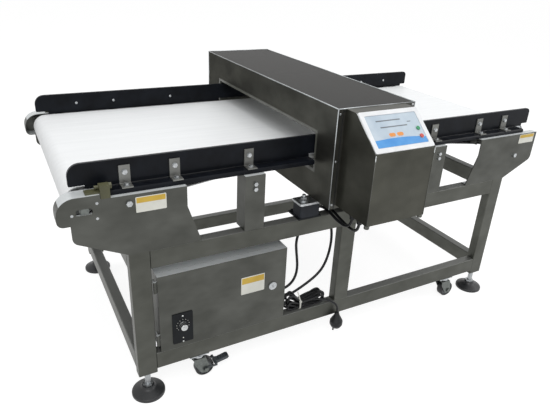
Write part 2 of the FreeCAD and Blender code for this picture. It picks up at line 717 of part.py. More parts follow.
def rollers():
    width = s.belt_width - s.roller_short
    dead_bore = s.shaft_dia / 2 + s.fit_gap
    node("tail_roller", roller("tail", -s.roller_x, ROLLER_Z, ROLLER_R, dead_bore, width))

    drive = roller("drive", s.roller_x, ROLLER_Z, ROLLER_R, s.shaft_dia / 2, width)
    shaft_end = PLATE_INNER - s.fit_gap
    shaft = rod(s.shaft_dia, shaft_end * 2, s.roller_x, -shaft_end, ROLLER_Z, "y")
    pulley = vee_pulley(s.roller_x, ROLLER_Z, s.shaft_dia)
    node("drive_roller", group(drive, shaft, pulley))

    for side, sx in (("left", -1), ("right", 1)):
        sleeve = rod(s.idler_dia, width, s.idler_x * sx, -width / 2, s.idler_z, "y")
        bore = rod(s.idler_axle + s.fit_gap * 2, s.belt_width, s.idler_x * sx,
                   -s.belt_width / 2, s.idler_z, "y")
        node(f"idler_{side}", cut(sleeve, bore))

    pieces = []
    flat_half = s.shaft_flat / 2 - s.fit_gap / 3
    for sy in (-1, 1):
        flange, boss = s.bearing_flange / 2, s.bearing_boss / 2
        bearing = revolve("bearing", [
            (dead_bore, 0), (flange, 0), (flange, s.bearing_plate, 1), (boss, s.bearing_plate + 2),
            (boss, s.bearing_deep, 1), (dead_bore, s.bearing_deep)])
        turn = ALONG["y"] if sy < 0 else Turn(Vec(1, 0, 0), 90)
        pieces.append(place(bearing, s.roller_x, PLATE_INNER * sy, ROLLER_Z, turn))
    journal = rod(s.shaft_dia, PLATE_INNER * 2, -s.roller_x, -PLATE_INNER, ROLLER_Z, "y")
    tongue = slab(-s.roller_x - s.shaft_tongue / 2, -s.roller_x + s.shaft_tongue / 2,
                  -FRAME_Y - 1, FRAME_Y + 1, ROLLER_Z - flat_half, ROLLER_Z + flat_half)
    pieces.append(fuse(journal, tongue))
    for sx in (-1, 1):
        axle = rod(s.idler_axle, PLATE_INNER * 2, s.idler_x * sx, -PLATE_INNER, s.idler_z, "y")
        pieces.append(axle)
    node("bearings_and_axles", group(*pieces))


# ---------------------------------------------------------------- belt drive
def vee_pulley(x, z, shaft):
    rim = s.pulley_dia / 2
    groove = rim - s.groove_depth
    half = s.vbelt_width / 2
    slope = s.groove_slope
    body = revolve("pulley", [
        (shaft / 2, 0), (rim, 0), (rim, s.pulley_width / 2 - half),
        (groove, s.pulley_width / 2 - half + slope), (groove, s.pulley_width / 2 + half - slope),
        (rim, s.pulley_width / 2 + half), (rim, s.pulley_width), (shaft / 2, s.pulley_width)])
    return place(body, x, s.pulley_y, z, ALONG["y"])


def motor_bracket():
    """Angle on the plate's foot flange: upright for the gearhead, hole for its shaft."""
    head_y = MOTOR_FLANGE_Y - s.bracket_plate
    half = s.motor_size / 2
    foot_z = s.frame_top + s.sheet_gauge
    left, right = s.motor_x - half - 6, s.motor_x + 20
    upright = slab(left, s.motor_x + half, head_y, MOTOR_FLANGE_Y, foot_z, s.motor_z + half + 2)
    shelf = slab(left, right, MOTOR_FLANGE_Y, PLATE_INNER, foot_z, foot_z + s.bracket_plate)
    hole = rod(s.motor_shaft * 2, 20, s.motor_x, head_y - 5, s.motor_z, "y")
    return cut(fuse(upright, shelf), hole)


def belt_drive():
    head_y = MOTOR_FLANGE_Y - s.bracket_plate
    half = s.motor_size / 2
    head_start = head_y - s.gearhead_length
    motor_start = head_start - s.motor_length
    gearhead = new_body("gearhead")
    pad(gearhead, "XZ_Plane", s.gearhead_length, rectangle(half, half, 6), back=True)
    place(gearhead, s.motor_x, head_start, s.motor_z)
    motor = rod(s.motor_size - 4, s.motor_length, s.motor_x, motor_start, s.motor_z, "y")
    fan_cover = rod(s.motor_size - 10, s.fan_cover, s.motor_x, motor_start - s.fan_cover, s.motor_z,
                    "y")
    terminal = slab(s.motor_x - 24, s.motor_x + 24, motor_start + 30, motor_start + 90,
                    s.motor_z - half - 2, s.motor_z - half + 8)
    node("gearmotor", fuse(gearhead, motor, fan_cover, terminal))

    output = rod(s.motor_shaft, s.pulley_y + s.pulley_width - head_y, s.motor_x,
                 head_y + s.fit_gap, s.motor_z, "y")
    node("motor_pulley", group(output, vee_pulley(s.motor_x, s.motor_z, s.motor_shaft)))

    rim = float(s.pulley_dia) / 2
    thick = float(s.vbelt_thick)
    band_width = s.vbelt_width - s.groove_slope * 2 - s.fit_gap * 2
    loop = band([(float(s.roller_x), float(ROLLER_Z), rim),
                 (float(s.motor_x), float(s.motor_z), rim)], thick, float(band_width))
    middle = s.pulley_y + s.pulley_width / 2
    node("drive_belt", made("drive_belt", loop, (0, middle - band_width / 2, 0)))


# ---------------------------------------------------------------- guides and guards
def guides():
    pieces = []
    for sy in (-1, 1):
        body = new_body("guide")
        end, top = s.guide_end, GUIDE_Z + s.guide_height
        pad(body, "XZ_Plane", s.guide_thick, [
            (-end, GUIDE_Z, 3), (end, GUIDE_Z, 3), (end, top, s.guide_round / 2),
            (-end, top, s.guide_round)], back=sy > 0)
        pieces.append(place(body, 0, GUIDE_Y * sy, 0))
    node("side_guides", group(*pieces))

    brackets, bolts = [], []
    gauge = s.bracket_gauge
    leg_y = GUIDE_Y + s.guide_thick
    places = [s.bracket_inner, s.bracket_middle, s.bracket_outer]
    for x in [-place_x for place_x in places] + places:
        for sy in (-1, 1):
            body = new_body("bracket")
            reach = BED_RAIL_Y + s.bed_rail_width
            top = BED_TOP + s.bracket_height
            pad(body, "YZ_Plane", s.bracket_width, [
                (leg_y * sy, BED_TOP, 2), (leg_y * sy, top), ((leg_y + gauge) * sy, top),
                ((leg_y + gauge) * sy, BED_TOP + gauge, 1), (reach * sy, BED_TOP + gauge),
                (reach * sy, BED_TOP)], both_ways=True)
            brackets.append(place(body, x, 0, 0))
            face = (leg_y + gauge) * sy
            low = face if sy > 0 else face - s.bolt_head
            bolts.append(hexagon(s.bolt_flats, s.bolt_head, x, low, BED_TOP + s.bracket_bolt, "y"))
            bolts.append(hexagon(s.bolt_flats, s.bolt_head, x, (leg_y + 15) * sy, BED_TOP + gauge))
    node("guide_brackets", group(*brackets))

    for sx in (-1, 1):
        for sy in (-1, 1):
            face = FRAME_Y if sy > 0 else -FRAME_Y - s.bolt_head
            for z in (s.post_bolt_low, s.post_bolt_high):
                bolts.append(hexagon(s.bolt_flats, s.bolt_head,
                                     (s.post_in + s.post_width / 2) * sx, face, z, "y"))
            for x, z in ((-s.spreader_left, s.spreader_left_z), (s.spreader_right, s.spreader_right_z)):
                if float(x) * sx > 0:
                    bolts.append(hexagon(s.bolt_flats * 1.3, s.bolt_head, x, face, z, "y"))
    node("bolts", group(*bolts))


def end_guards():
    covers, takeups = [], []
    for sy in (-1, 1):
        body = new_body("end_guard")
        far = sy > 0
        left, right = -s.guard_left, -s.guard_right
        shape = [(left, s.guard_bottom, 14), (right, s.guard_bottom, 3), (right, s.guard_top, 3),
                 (left, s.guard_top, s.guard_round)]
        gauge = s.guard_gauge
        window = [(-s.roller_x - 20, ROLLER_Z - 7, 6.9), (-s.roller_x + 16, ROLLER_Z - 7, 6.9),
                  (-s.roller_x + 16, ROLLER_Z + 7, 6.9), (-s.roller_x - 20, ROLLER_Z + 7, 6.9)]
        pad(body, "XZ_Plane", gauge, shape, window, back=far)
        rim_inner = [(left + gauge, s.guard_bottom + gauge, 12), (s.plate_out * -1 - 0.5, s.guard_bottom + gauge),
                     (s.plate_out * -1 - 0.5, s.guard_bottom), (left, s.guard_bottom, 14),
                     (left, s.guard_top, s.guard_round), (right, s.guard_top), (right, s.guard_top - gauge),
                     (left + gauge, s.guard_top - gauge, s.guard_round - gauge)]
        pad(body, "XZ_Plane", s.guard_width, rim_inner, back=not far)
        covers.append(place(body, 0, FRAME_Y * sy, 0))

        outer = FRAME_Y if far else -FRAME_Y
        back = outer - s.block_deep if far else outer
        block = slab(right + 1, right + 1 + s.block_long, back, back + s.block_deep, SEAT_Z,
                     SEAT_Z + s.block_tall)
        strap_low = outer - s.strap_wide - 4 if far else outer + 4
        strap = slab(right + 1 - s.strap_long, right + 1, strap_low, strap_low + s.strap_wide,
                     s.guard_top, s.guard_top + s.strap_thick)
        screw_y, screw_z = strap_low + s.strap_wide / 2, SEAT_Z + s.takeup_height
        screw = rod(s.takeup_screw, s.strap_long, right - 8, screw_y, screw_z, "x")
        nut = hexagon(13, 6, right + 1 + s.block_long, screw_y, screw_z, "x")
        takeups.append(fuse(block, strap))
        takeups.append(cut(fuse(screw, nut), block))
    node("end_guards", group(*covers))
    node("take_ups", group(*takeups))


# ---------------------------------------------------------------- detector head
def head():
    half, wall = s.head_half, s.head_wall
    near, far = -s.head_near, s.head_far
    liner_y = s.aperture_half + s.liner_wall
    low, high = s.aperture_bottom - s.liner_wall, s.aperture_top + s.liner_wall
    shell = slab(-half, half, near, far, s.head_bottom, s.head_top)
    inside = slab(-half + wall, half - wall, near + wall * 2, far - wall,
                  s.head_bottom + wall, s.head_top - wall)
    opening = slab(-half - 5, half + 5, -liner_y, liner_y, low, high)
    cover_half = half - s.head_strip
    cover_top = s.head_top - 7
    recess = slab(-cover_half, cover_half, near - 5, near + wall, s.head_bottom - 5, cover_top)
    node("head_case", cut(shell, inside, opening, recess))
    gap = s.fit_gap
    node("head_cover", slab(-cover_half + gap, cover_half - gap, near + gap, near + wall,
                            s.head_bottom, cover_top - gap))

    liner = cut(slab(-half, half, -liner_y, liner_y, low, high),
                slab(-half - 5, half + 5, -s.aperture_half, s.aperture_half,
                     s.aperture_bottom, s.aperture_top))
    coils = []
    for k in (-1, 0, 1):
        left = s.coil_step * k - s.coil_long / 2
        right = s.coil_step * k + s.coil_long / 2
        deep = s.coil_deep
        coils.append(cut(slab(left, right, -liner_y - deep, liner_y + deep, low - deep, high + deep),
                         slab(left - 1, right + 1, -liner_y, liner_y, low, high)))
    node("tunnel_liner", group(liner, *coils))


def head_mounts():
    plates, rubbers, feet = [], [], []
    plate_top = s.frame_top + s.mount_plate
    foot_low = s.head_bottom - s.head_foot
    half_long, half_wide = s.mount_plate_long / 2, s.mount_plate_wide / 2
    for sx in (-1, 1):
        for sy in (-1, 1):
            x, y = s.mount_x * sx, s.mount_y * sy
            plate_y = y - s.plate_inset * sy
            plates.append(slab(x - half_long, x + half_long, plate_y - half_wide, plate_y + half_wide,
                               s.frame_top, plate_top))
            for dx in (s.mount_bolt_x, -s.mount_bolt_far):
                plates.append(hexagon(s.bolt_flats, s.bolt_head, x + dx * sx,
                                      s.mount_bolt_y * sy, plate_top))
            rubber = new_body("rubber")
            pad(rubber, "XY_Plane", foot_low - plate_top,
                rectangle(s.mount_rubber_long / 2, s.mount_rubber_wide / 2, 6))
            rubbers.append(place(rubber, x, y, plate_top))
            tab = new_body("head_foot")
            pad(tab, "XY_Plane", s.head_foot, rectangle(s.mount_rubber_long / 2 + 2,
                                                        s.mount_rubber_wide / 2 + 2, 5))
            feet.append(place(tab, x, y, foot_low))
            stud_x = x + s.mount_stud_x * sx
            washer = rod(s.mount_stud * 2.6, 3, stud_x, y, s.head_bottom)
            stud = rod(s.mount_stud, 17, stud_x, y, s.head_bottom)
            nut = hexagon(s.mount_stud * 1.6, s.mount_stud, stud_x, y, s.head_bottom)
            feet.append(fuse(washer, stud, nut))
    node("mount_plates", group(*plates))
    node("mount_rubbers", group(*rubbers))
    node("head_feet", group(*feet))


# ---------------------------------------------------------------- control box
def control_box():
    rise = s.control_top - s.control_brow
    run = s.control_front - s.control_back
    slope = hypotenuse(rise, run)
    gauge = s.control_gauge
    width = s.control_left + s.control_right
    shell = new_body("control_shell")
    front, back = -s.control_front, HEAD_FACE
    pad(shell, "YZ_Plane", width, [
        (back, s.control_bottom), (front, s.control_bottom), (front, s.control_brow),
        (-s.control_back, s.control_top), (back, s.control_top)])
    lean = rise / run
    drop = gauge * slope / run                   # upright thickness of the sloping sheet
    inner_brow = s.control_brow + gauge * lean - drop
    inner_back = front + (s.control_top - gauge - s.control_brow + drop) / lean
    pocket(shell, "YZ_Plane", width - gauge * 2, [
        (back + 1, s.control_bottom + gauge), (front + gauge, s.control_bottom + gauge),
        (front + gauge, inner_brow), (inner_back, s.control_top - gauge),
        (back + 1, s.control_top - gauge)], back=True)
    for feature in shell.Group:
        if feature.TypeId == "PartDesign::Pocket":
            feature.Profile[0].AttachmentOffset = FreeCAD.Placement(Vec(0, 0, 0), Turn())
            bind(feature.Profile[0], "AttachmentOffset.Base.z", gauge)
    place(shell, -s.control_left, 0, 0)
    node("control_box", shell)

    # The front's own frame: origin at its lower edge, Y up the slope, Z out of it.
    tilt = Turn(Vec(1, 0, 0), math.degrees(math.atan2(float(rise), float(run))))
    middle_x = (s.control_right - s.control_left) / 2
    half = width / 2 - 0.5

    def on_slope(body):
        return place(body, middle_x, front, s.control_brow, tilt)

    edge = s.bezel_edge
    bezel = new_body("bezel")
    low, top = s.bezel_thick + 0.5, slope - 0.5
    pad(bezel, "XY_Plane", s.bezel_thick,
        [(-half, low, 4), (half, low, 4), (half, top, 4), (-half, top, 4)],
        [(-half + edge, low + edge, 3), (half - edge, low + edge, 3), (half - edge, top - edge, 3),
         (-half + edge, top - edge, 3)])
    node("control_bezel", on_slope(bezel))
    gap = s.fit_gap
    screen = new_body("screen")
    key_y, key_x, key_r = top * 0.30, half - edge - 14, s.key_dia / 2
    keys = {"green": (key_x, key_y + 22), "red": (key_x, key_y)}
    pad(screen, "XY_Plane", s.screen_thick,
        [(-half + edge + gap, low + edge + gap, 2.5), (half - edge - gap, low + edge + gap, 2.5),
         (half - edge - gap, top - edge - gap, 2.5), (-half + edge + gap, top - edge - gap, 2.5)])
    node("control_screen", on_slope(screen))
    for colour, (x, y) in keys.items():
        body = revolve("key", [
            (0, 0), (key_r, 0), (key_r, s.key_height, 1), (0, s.key_height)])
        along = y * (run / slope)
        up = y * (rise / slope)
        lift = s.screen_thick + s.key_travel + 0.2
        out_y = lift * (rise / slope) * -1
        out_z = lift * (run / slope)
        place(body, middle_x + x, front + along + out_y, s.control_brow + up + out_z, tilt)
        node(f"{colour}_key", body)


# ---------------------------------------------------------------- cabinet
def cabinet():
    left, right = -s.cabinet_left, -s.cabinet_right
    front, back = -CABINET_Y, -s.cabinet_back
    base, top, gauge = RAIL_TOP, s.cabinet_top, s.cabinet_gauge
    shell = cut(slab(left, right, front, back, base, top),
                slab(left + gauge, right - gauge, front - 5, back - gauge, base + gauge, top - gauge))
    fixed = []
    for z in (s.hinge_low, s.hinge_high):
        pin = rod(s.hinge_pin, s.hinge_tall * 2, -s.hinge_x, -s.hinge_y, z)
        barrel = rod(s.hinge_barrel, s.hinge_tall, -s.hinge_x, -s.hinge_y, z)
        wing = slab(left - 3, left, -s.hinge_y, front + 20, z, z + s.hinge_tall)
        web = slab(-s.hinge_x, left, -s.hinge_y, -s.hinge_y + 3, z, z + s.hinge_tall)
        fixed.append(fuse(pin, barrel, wing, web))
    node("cabinet_body", group(shell, *fixed))

    face = -FRAME_Y
    gap = s.fit_gap
    tray = cut(slab(left, right, face, front - gap, base + gap, top),
               slab(left + gauge, right - gauge, face + gauge, front + 5, base + gauge * 2,
                    top - gauge))
    knuckles = []
    for z in (s.hinge_low, s.hinge_high):
        start = z + s.hinge_tall + gap
        height = s.hinge_tall - gap
        barrel = rod(s.hinge_barrel, height, -s.hinge_x, -s.hinge_y, start)
        web = slab(-s.hinge_x, left, -s.hinge_y, -s.hinge_y + 3, start, start + height)
        bore = rod(s.hinge_pin + gap * 2, s.hinge_tall * 2, -s.hinge_x, -s.hinge_y, start - 5)
        knuckles.append(cut(fuse(barrel, web), bore))
    lock_hole = rod(s.lock_dia + gap * 2, 20, -s.lock_x, face - 5, s.lock_z, "y")
    knob_hole = rod(6 + gap * 2, 20, -s.speed_x, face - 5, s.speed_z, "y")
    node("cabinet_door", cut(fuse(tray, *knuckles), lock_hole, knob_hole))

    barrel = rod(s.lock_dia, s.door_deep, -s.lock_x, face, s.lock_z, "y")
    flange = rod(s.lock_dia + 6, 3, -s.lock_x, face - 3 - gap, s.lock_z, "y")
    collar = rod(s.lock_dia, gap + 1, -s.lock_x, face - gap - 0.5, s.lock_z, "y")
    key_slot = slab(-s.lock_x - 1, -s.lock_x + 1, face - 6, face - 1, s.lock_z - 4, s.lock_z + 4)
    cam = slab(-s.lock_x - 7, right - 8, face + s.door_deep + 2, face + s.door_deep + 4,
               s.lock_z - 6, s.lock_z + 6)
    neck = rod(10, 6, -s.lock_x, face + s.door_deep - 1, s.lock_z, "y")
    node("cabinet_lock", cut(fuse(barrel, flange, collar, cam, neck), key_slot))

    plate = new_body("speed_plate")
    half = s.speed_plate_long / 2
    low = s.speed_z - 56
    pad(plate, "XZ_Plane", 2, [
        (-half, low, 3), (half, low, 3), (half, low + s.speed_plate_tall, 3),
        (-half, low + s.speed_plate_tall, 3)])
    place(plate, -s.speed_x, face, 0)
    node("speed_plate", cut(plate, rod(6 + gap * 2, 20, -s.speed_x, face - 10, s.speed_z, "y")))

    knob_r = s.speed_knob / 2
    knob = revolve("knob", [
        (0, 0), (knob_r - 2, 0, 1.5), (knob_r - 1, 12), (knob_r, 15 - gap), (0, 15 - gap)])
    place(knob, -s.speed_x, face - 17, s.speed_z, ALONG["y"])
    stem = rod(6, 14, -s.speed_x, face - 5, s.speed_z, "y")
    pointer = slab(-s.speed_x - 1, -s.speed_x + 1, face - 18, face - 14, s.speed_z + 2,
                   s.speed_z + knob_r - 2)
    node("speed_knob", fuse(knob, stem, pointer))

    plate_y = back - gauge - 3
    unit = [slab(left + 20, right - 20, plate_y, back - gauge, base + 20, top - 20),
            slab(left + 50, left + 140, plate_y - 75, plate_y, base + 60, top - 40),
            slab(left + 170, left + 230, plate_y - 60, plate_y, base + 90, top - 60)]
    unit += [slab(left + 250 + 14 * k, left + 262 + 14 * k, plate_y - 40, plate_y,
                  base + 60, base + 120) for k in range(5)]
    node("drive_unit", group(*unit))


# ---------------------------------------------------------------- cables
SIGNAL_ROUTE = [
    (-85, -470, 479.3), (-85, -468, 468), (-86, -461, 457), (-87, -449, 450), (-88, -433, 448),
    (-89, -412, 450), (-89, -388, 455), (-88, -362, 458), (-88, -336, 457), (-89, -316, 448),
    (-93, -303, 431), (-103, -297, 410), (-119, -295, 388), (-133, -295, 363), (-140, -296, 334),
    (-138, -298, 304), (-134, -299, 276), (-132, -300, 250), (-135, -301, 226),
    (-145, -302, 205), (-160, -301, 191), (-176, -300, 185), (-189, -300, 185)]
POWER_ROUTE = [
    (-85, -500, 479.3), (-85, -498, 468), (-84, -491, 457), (-82, -479, 450), (-79, -463, 446),
    (-77, -443, 445), (-76, -421, 447), (-76, -397, 452), (-75, -370, 458), (-74, -342, 458),
    (-68, -320, 449), (-56, -306, 432), (-40, -299, 409), (-27, -296, 380), (-18, -297, 348),
    (-16, -298, 314), (-20, -299, 280), (-28, -300, 250), (-42, -301, 222), (-62, -301, 202),
    (-86, -301, 187), (-114, -301, 173), (-142, -301, 161), (-168, -300, 155), (-189, -300, 155)]
LEAD_ROUTE = [
    (-80, -350, 152), (-62, -358, 151), (-44, -367, 144), (-29, -371, 131), (-20, -372, 115),
    (-20, -372, 100)]
HANK_OUTLINE = [
    (-189, 131), (-60, 131, 10), (-50, 147, 8), (-58, 160, 8), (-120, 161, 20), (-143, 155, 12),
    (-166, 179, 14), (-183, 195, 6), (-189, 191)]


def gland(x, y, z, along):
    """Cable gland that stands along +X, or hangs down under a floor at z."""
    flats, nut, length = s.gland_flats, s.gland_nut, s.gland_length
    if along == "x":
        return fuse(hexagon(flats, nut, x, y, z, "x"),
                    rod(flats - 4, length - nut, x + nut, y, z, "x"))
    return fuse(hexagon(flats, nut, x, y, z - nut), rod(flats - 4, length - nut, x, y, z - length))


def cables():
    node("signal_cable", cable("signal_cable", float(s.cable_dia), SIGNAL_ROUTE))
    node("power_cable", cable("power_cable", float(s.cable_dia), POWER_ROUTE))
    node("mains_lead", cable("mains_lead", float(s.lead_dia), LEAD_ROUTE))

    hank = new_body("hank")
    pad(hank, "XZ_Plane", s.hank_deep, HANK_OUTLINE)
    place(hank, 0, s.hank_deep - s.hank_front, 0)
    node("mains_hank", hank)

    plug = revolve("plug", [
        (0, 0), (15, 0, 2), (s.plug_dia / 2, 10, 3), (s.plug_dia / 2, 22, 6), (9, 42, 5),
        (5.5, 54), (0, 54)])
    place(plug, -s.plug_x, -s.plug_y, s.plug_bottom)
    pins = [rod(s.pin_dia, s.pin_length, -s.plug_x + s.pin_pitch / 2 * side, -s.plug_y,
                s.plug_bottom - s.pin_length) for side in (-1, 1)]
    node("mains_plug", fuse(plug, *pins))

    side = -s.cabinet_right
    node("cable_glands", group(
        gland(-s.gland_x, -s.signal_y, s.control_bottom, "z"),
        gland(-s.gland_x, -s.power_y, s.control_bottom, "z"),
        gland(side, -s.inlet_y, s.signal_z, "x"), gland(side, -s.inlet_y, s.power_z, "x"),
        gland(side, -s.mains_y, s.mains_z, "x")))


frame_tubes()
levelling_feet()
casters()
side_plates()
posts()
bed()
belt()
rollers()
belt_drive()
guides()
end_guards()
head()
head_mounts()
control_box()
cabinet()
cables()
doc.recompute()

failed = [thing.Name for thing in doc.Objects if {"Invalid", "Error"} & set(thing.State)]
if failed:
    raise RuntimeError(f"failed to compute: {failed}")
for name, thing in nodes.items():
    if thing.Shape.isNull() or not thing.Shape.isValid():
        raise RuntimeError(f"bad shape: {name}")

os.makedirs("parts", exist_ok=True)
for name, thing in nodes.items():
    thing.Shape.exportStep(f"parts/{name}.step")
    print(f"{name}: {len(thing.Shape.Solids)} solids, {thing.Shape.Volume / 1000:.1f} cm3")
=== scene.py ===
"""Looks of the conveyor metal detector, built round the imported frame.

Everything is in metres in the row frame.  Pieces are placed in millimetres from the
middle of the tube frame with at(), which adds the frame's own centre.
"""

import math

import bmesh
import bpy
from mathutils import Matrix, Vector


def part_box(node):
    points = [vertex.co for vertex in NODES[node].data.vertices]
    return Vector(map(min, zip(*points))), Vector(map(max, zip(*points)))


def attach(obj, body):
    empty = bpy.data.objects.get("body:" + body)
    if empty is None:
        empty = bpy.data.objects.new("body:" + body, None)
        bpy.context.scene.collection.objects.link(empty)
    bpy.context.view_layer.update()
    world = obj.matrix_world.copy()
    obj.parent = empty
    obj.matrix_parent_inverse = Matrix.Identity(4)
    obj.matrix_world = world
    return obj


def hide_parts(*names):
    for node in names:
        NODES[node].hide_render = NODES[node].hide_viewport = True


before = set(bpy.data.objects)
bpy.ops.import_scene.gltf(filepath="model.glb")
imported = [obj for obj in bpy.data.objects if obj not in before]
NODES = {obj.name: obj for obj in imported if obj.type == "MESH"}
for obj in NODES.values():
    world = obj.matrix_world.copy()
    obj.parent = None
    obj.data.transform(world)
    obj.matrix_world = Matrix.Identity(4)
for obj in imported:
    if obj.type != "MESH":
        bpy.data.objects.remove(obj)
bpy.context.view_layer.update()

legs_low, legs_high = (Vector(corner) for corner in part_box("legs"))
CENTRE = Vector(((legs_low.x + legs_high.x) / 2, (legs_low.y + legs_high.y) / 2, 0))
MM = 0.001


def at(x, y, z):
    """A place in millimetres from the middle of the tube frame, as a point of the row frame."""
    return Vector((x, y, z)) * MM + CENTRE


# ---------------------------------------------------------------- levels of the machine, mm
FRAME_Y = 355.5          # outer faces of the tube frame
GUIDE_Y = 308.0          # inner faces of the belt guides
GUIDE_SCREW_Z = 632.0
SKIRT_Y = 311.5          # middle of the strip that closes the gap below a guide
BRACKETS = (-615, -500, -310, 310, 500, 615)
HEAD_NEAR = -412.7
HEAD_FAR = 428.2
HEAD_HALF = 120.0
HEAD_LOW, HEAD_TOP = 487.0, 755.0
BOX_LEFT, BOX_RIGHT = -98.0, 83.0
BOX_FRONT, BOX_BROW = -544.7, 678.0
BOX_BACK, BOX_TOP, BOX_LOW = -456.0, 754.5, 495.0
RAIL_TOP = 131.0


# ---------------------------------------------------------------- materials
def linear(code):
    """sRGB hex code as linear red, green, blue and alpha."""
    parts = [int(code[i:i + 2], 16) / 255 for i in (0, 2, 4)]
    return (*[c / 12.92 if c <= 0.04045 else ((c + 0.055) / 1.055) ** 2.4 for c in parts], 1)


def add(tree, kind, values=None, links=None, **settings):
    """Add a node, set its sockets and settings, and link outputs into its sockets."""
    made = tree.nodes.new(kind)
    for name, value in settings.items():
        setattr(made, name, value)
    for socket, value in (values or {}).items():
        made.inputs[socket].default_value = value
    for socket, source in (links or {}).items():
        tree.links.new(source, made.inputs[socket])
    return made


def new_material(name):
    material = bpy.data.materials.new(name)
    material.use_nodes = True
    material.node_tree.nodes.clear()
    return material, material.node_tree


def close(tree, shader):
    add(tree, "ShaderNodeOutputMaterial", links={"Surface": shader.outputs[0]})


def stretched(tree, sizes, detail=3.0):
    """Noise on Object coordinates whose grain is so many millimetres long on each axis."""
    place = add(tree, "ShaderNodeTexCoord")
    scaled = add(tree, "ShaderNodeMapping", {"Scale": [1000 / size for size in sizes]},
                 {"Vector": place.outputs["Object"]})
    return add(tree, "ShaderNodeTexNoise", {"Scale": 1.0, "Detail": detail, "Roughness": 0.6},
               {"Vector": scaled.outputs[0]})


def tinted(tree, noise, dark, light, low=0.3, high=0.7):
    ramp = add(tree, "ShaderNodeValToRGB", links={"Fac": noise.outputs["Fac"]})
    ramp.color_ramp.elements[0].position = low
    ramp.color_ramp.elements[0].color = linear(dark)
    ramp.color_ramp.elements[1].position = high
    ramp.color_ramp.elements[1].color = linear(light)
    return ramp


def bumped(tree, noise, strength, height_mm):
    return add(tree, "ShaderNodeBump", {"Strength": strength, "Distance": height_mm * MM},
               {"Height": noise.outputs["Fac"]})


def brushed_steel(name, dark, light, grain=(60, 1.2, 1.2), roughness=0.42, painted_top_tone=None,
                  edge=(1, 1, 1, 1)):
    """Brushed 304 stainless sheet: fine lines along the grain, cloudy hand marks over them.

    Faces that look up take the painted top tone, where one is given, and are less metallic. The tone
    is painted light, chosen for its look under soft light from above: a painted highlight where it
    is lighter than the steel, painted shade where it is darker. It is no real finish.
    """
    material, tree = new_material(name)
    clouds = stretched(tree, (90, 90, 60), 2.0)
    lines = stretched(tree, grain)
    base = tinted(tree, clouds, dark, light).outputs[0]
    steel = add(tree, "ShaderNodeBsdfPrincipled", {"Metallic": 0.85, "Specular Tint": edge,
                                                   "Specular IOR Level": 0.25})
    # painted light: faces that look up swap to a painted highlight or painted shade tone
    if painted_top_tone:
        place = add(tree, "ShaderNodeTexCoord")
        facing = add(tree, "ShaderNodeSeparateXYZ", links={"Vector": place.outputs["Normal"]})
        up = add(tree, "ShaderNodeMath", {1: 0.6}, {0: facing.outputs["Z"]},
                 operation="GREATER_THAN")
        base = add(tree, "ShaderNodeMix", {7: linear(painted_top_tone)}, {0: up.outputs[0], 6: base},
                   data_type="RGBA").outputs[2]
        metal = add(tree, "ShaderNodeMapRange", {"To Min": 0.85, "To Max": 0.3},
                    {"Value": up.outputs[0]})
        tree.links.new(metal.outputs[0], steel.inputs["Metallic"])
    normal = bumped(tree, lines, 0.25, 0.05)
    rough = add(tree, "ShaderNodeMapRange",
                {"From Min": 0.2, "From Max": 0.8, "To Min": roughness - 0.06,
                 "To Max": roughness + 0.08}, {"Value": lines.outputs["Fac"]})
    for socket, source in (("Base Color", base), ("Roughness", rough.outputs[0]),
                           ("Normal", normal.outputs[0])):
        tree.links.new(source, steel.inputs[socket])
    close(tree, steel)
    return material


def moulded(name, dark, light, roughness, grit=0.8, height=0.03, shine=0.5, coat=0.0):
    """Moulded or cast surface: a fine even grit and a slight drift of colour."""
    material, tree = new_material(name)
    drift = stretched(tree, (45, 45, 45), 2.0)
    grain = stretched(tree, (grit, grit, grit))
    colour = tinted(tree, drift, dark, light)
    normal = bumped(tree, grain, 0.3, height)
    close(tree, add(tree, "ShaderNodeBsdfPrincipled",
                    {"Roughness": roughness, "IOR": 1.5, "Specular IOR Level": shine,
                     "Coat Weight": coat},
                    {"Base Color": colour.outputs[0], "Normal": normal.outputs[0]}))
    return material


def plated(name, dark, light, roughness=0.3):
    """Bright zinc or nickel plate: smooth metal with a faint mottle."""
    material, tree = new_material(name)
    mottle = stretched(tree, (6, 6, 6))
    colour = tinted(tree, mottle, dark, light)
    close(tree, add(tree, "ShaderNodeBsdfPrincipled", {"Metallic": 0.95, "Roughness": roughness},
                    {"Base Color": colour.outputs[0]}))
    return material


def belt_cloth(name):
    """White PVC belt: calendered cover with the fabric's weave showing faintly through."""
    material, tree = new_material(name)
    place = add(tree, "ShaderNodeTexCoord")
    thread = add(tree, "ShaderNodeTexWave", {"Scale": 1000 / 2.4 / 6.283, "Distortion": 0.4},
                 {"Vector": place.outputs["Object"]}, bands_direction="Y")
    scuffs = stretched(tree, (220, 14, 14), 3.0)
    colour = tinted(tree, scuffs, "eef0f1", "f4f6f7")
    normal = bumped(tree, thread, 0.12, 0.05)
    close(tree, add(tree, "ShaderNodeBsdfPrincipled", {"Roughness": 0.45, "IOR": 1.52},
                    {"Base Color": colour.outputs[0], "Normal": normal.outputs[0]}))
    return material


def by_height(name, split, below, above):
    """Levelling foot: glass-filled nylon pad below the split, zinc-plated screw above it."""
    material, tree = new_material(name)
    place = add(tree, "ShaderNodeTexCoord")
    axes = add(tree, "ShaderNodeSeparateXYZ", links={"Vector": place.outputs["Object"]})
    over = add(tree, "ShaderNodeMath", {1: split * MM}, {0: axes.outputs["Z"]},
               operation="GREATER_THAN")
    grain = stretched(tree, (2, 2, 2))
    pad_colour = tinted(tree, grain, below[0], below[1])
    screw_colour = tinted(tree, grain, above[0], above[1])
    nylon = add(tree, "ShaderNodeBsdfPrincipled", {"Roughness": 0.42},
                {"Base Color": pad_colour.outputs[0]})
    zinc = add(tree, "ShaderNodeBsdfPrincipled", {"Roughness": 0.3, "Metallic": 0.95},
               {"Base Color": screw_colour.outputs[0]})
    close(tree, add(tree, "ShaderNodeMixShader",
                    links={0: over.outputs[0], 1: nylon.outputs[0], 2: zinc.outputs[0]}))
    return material


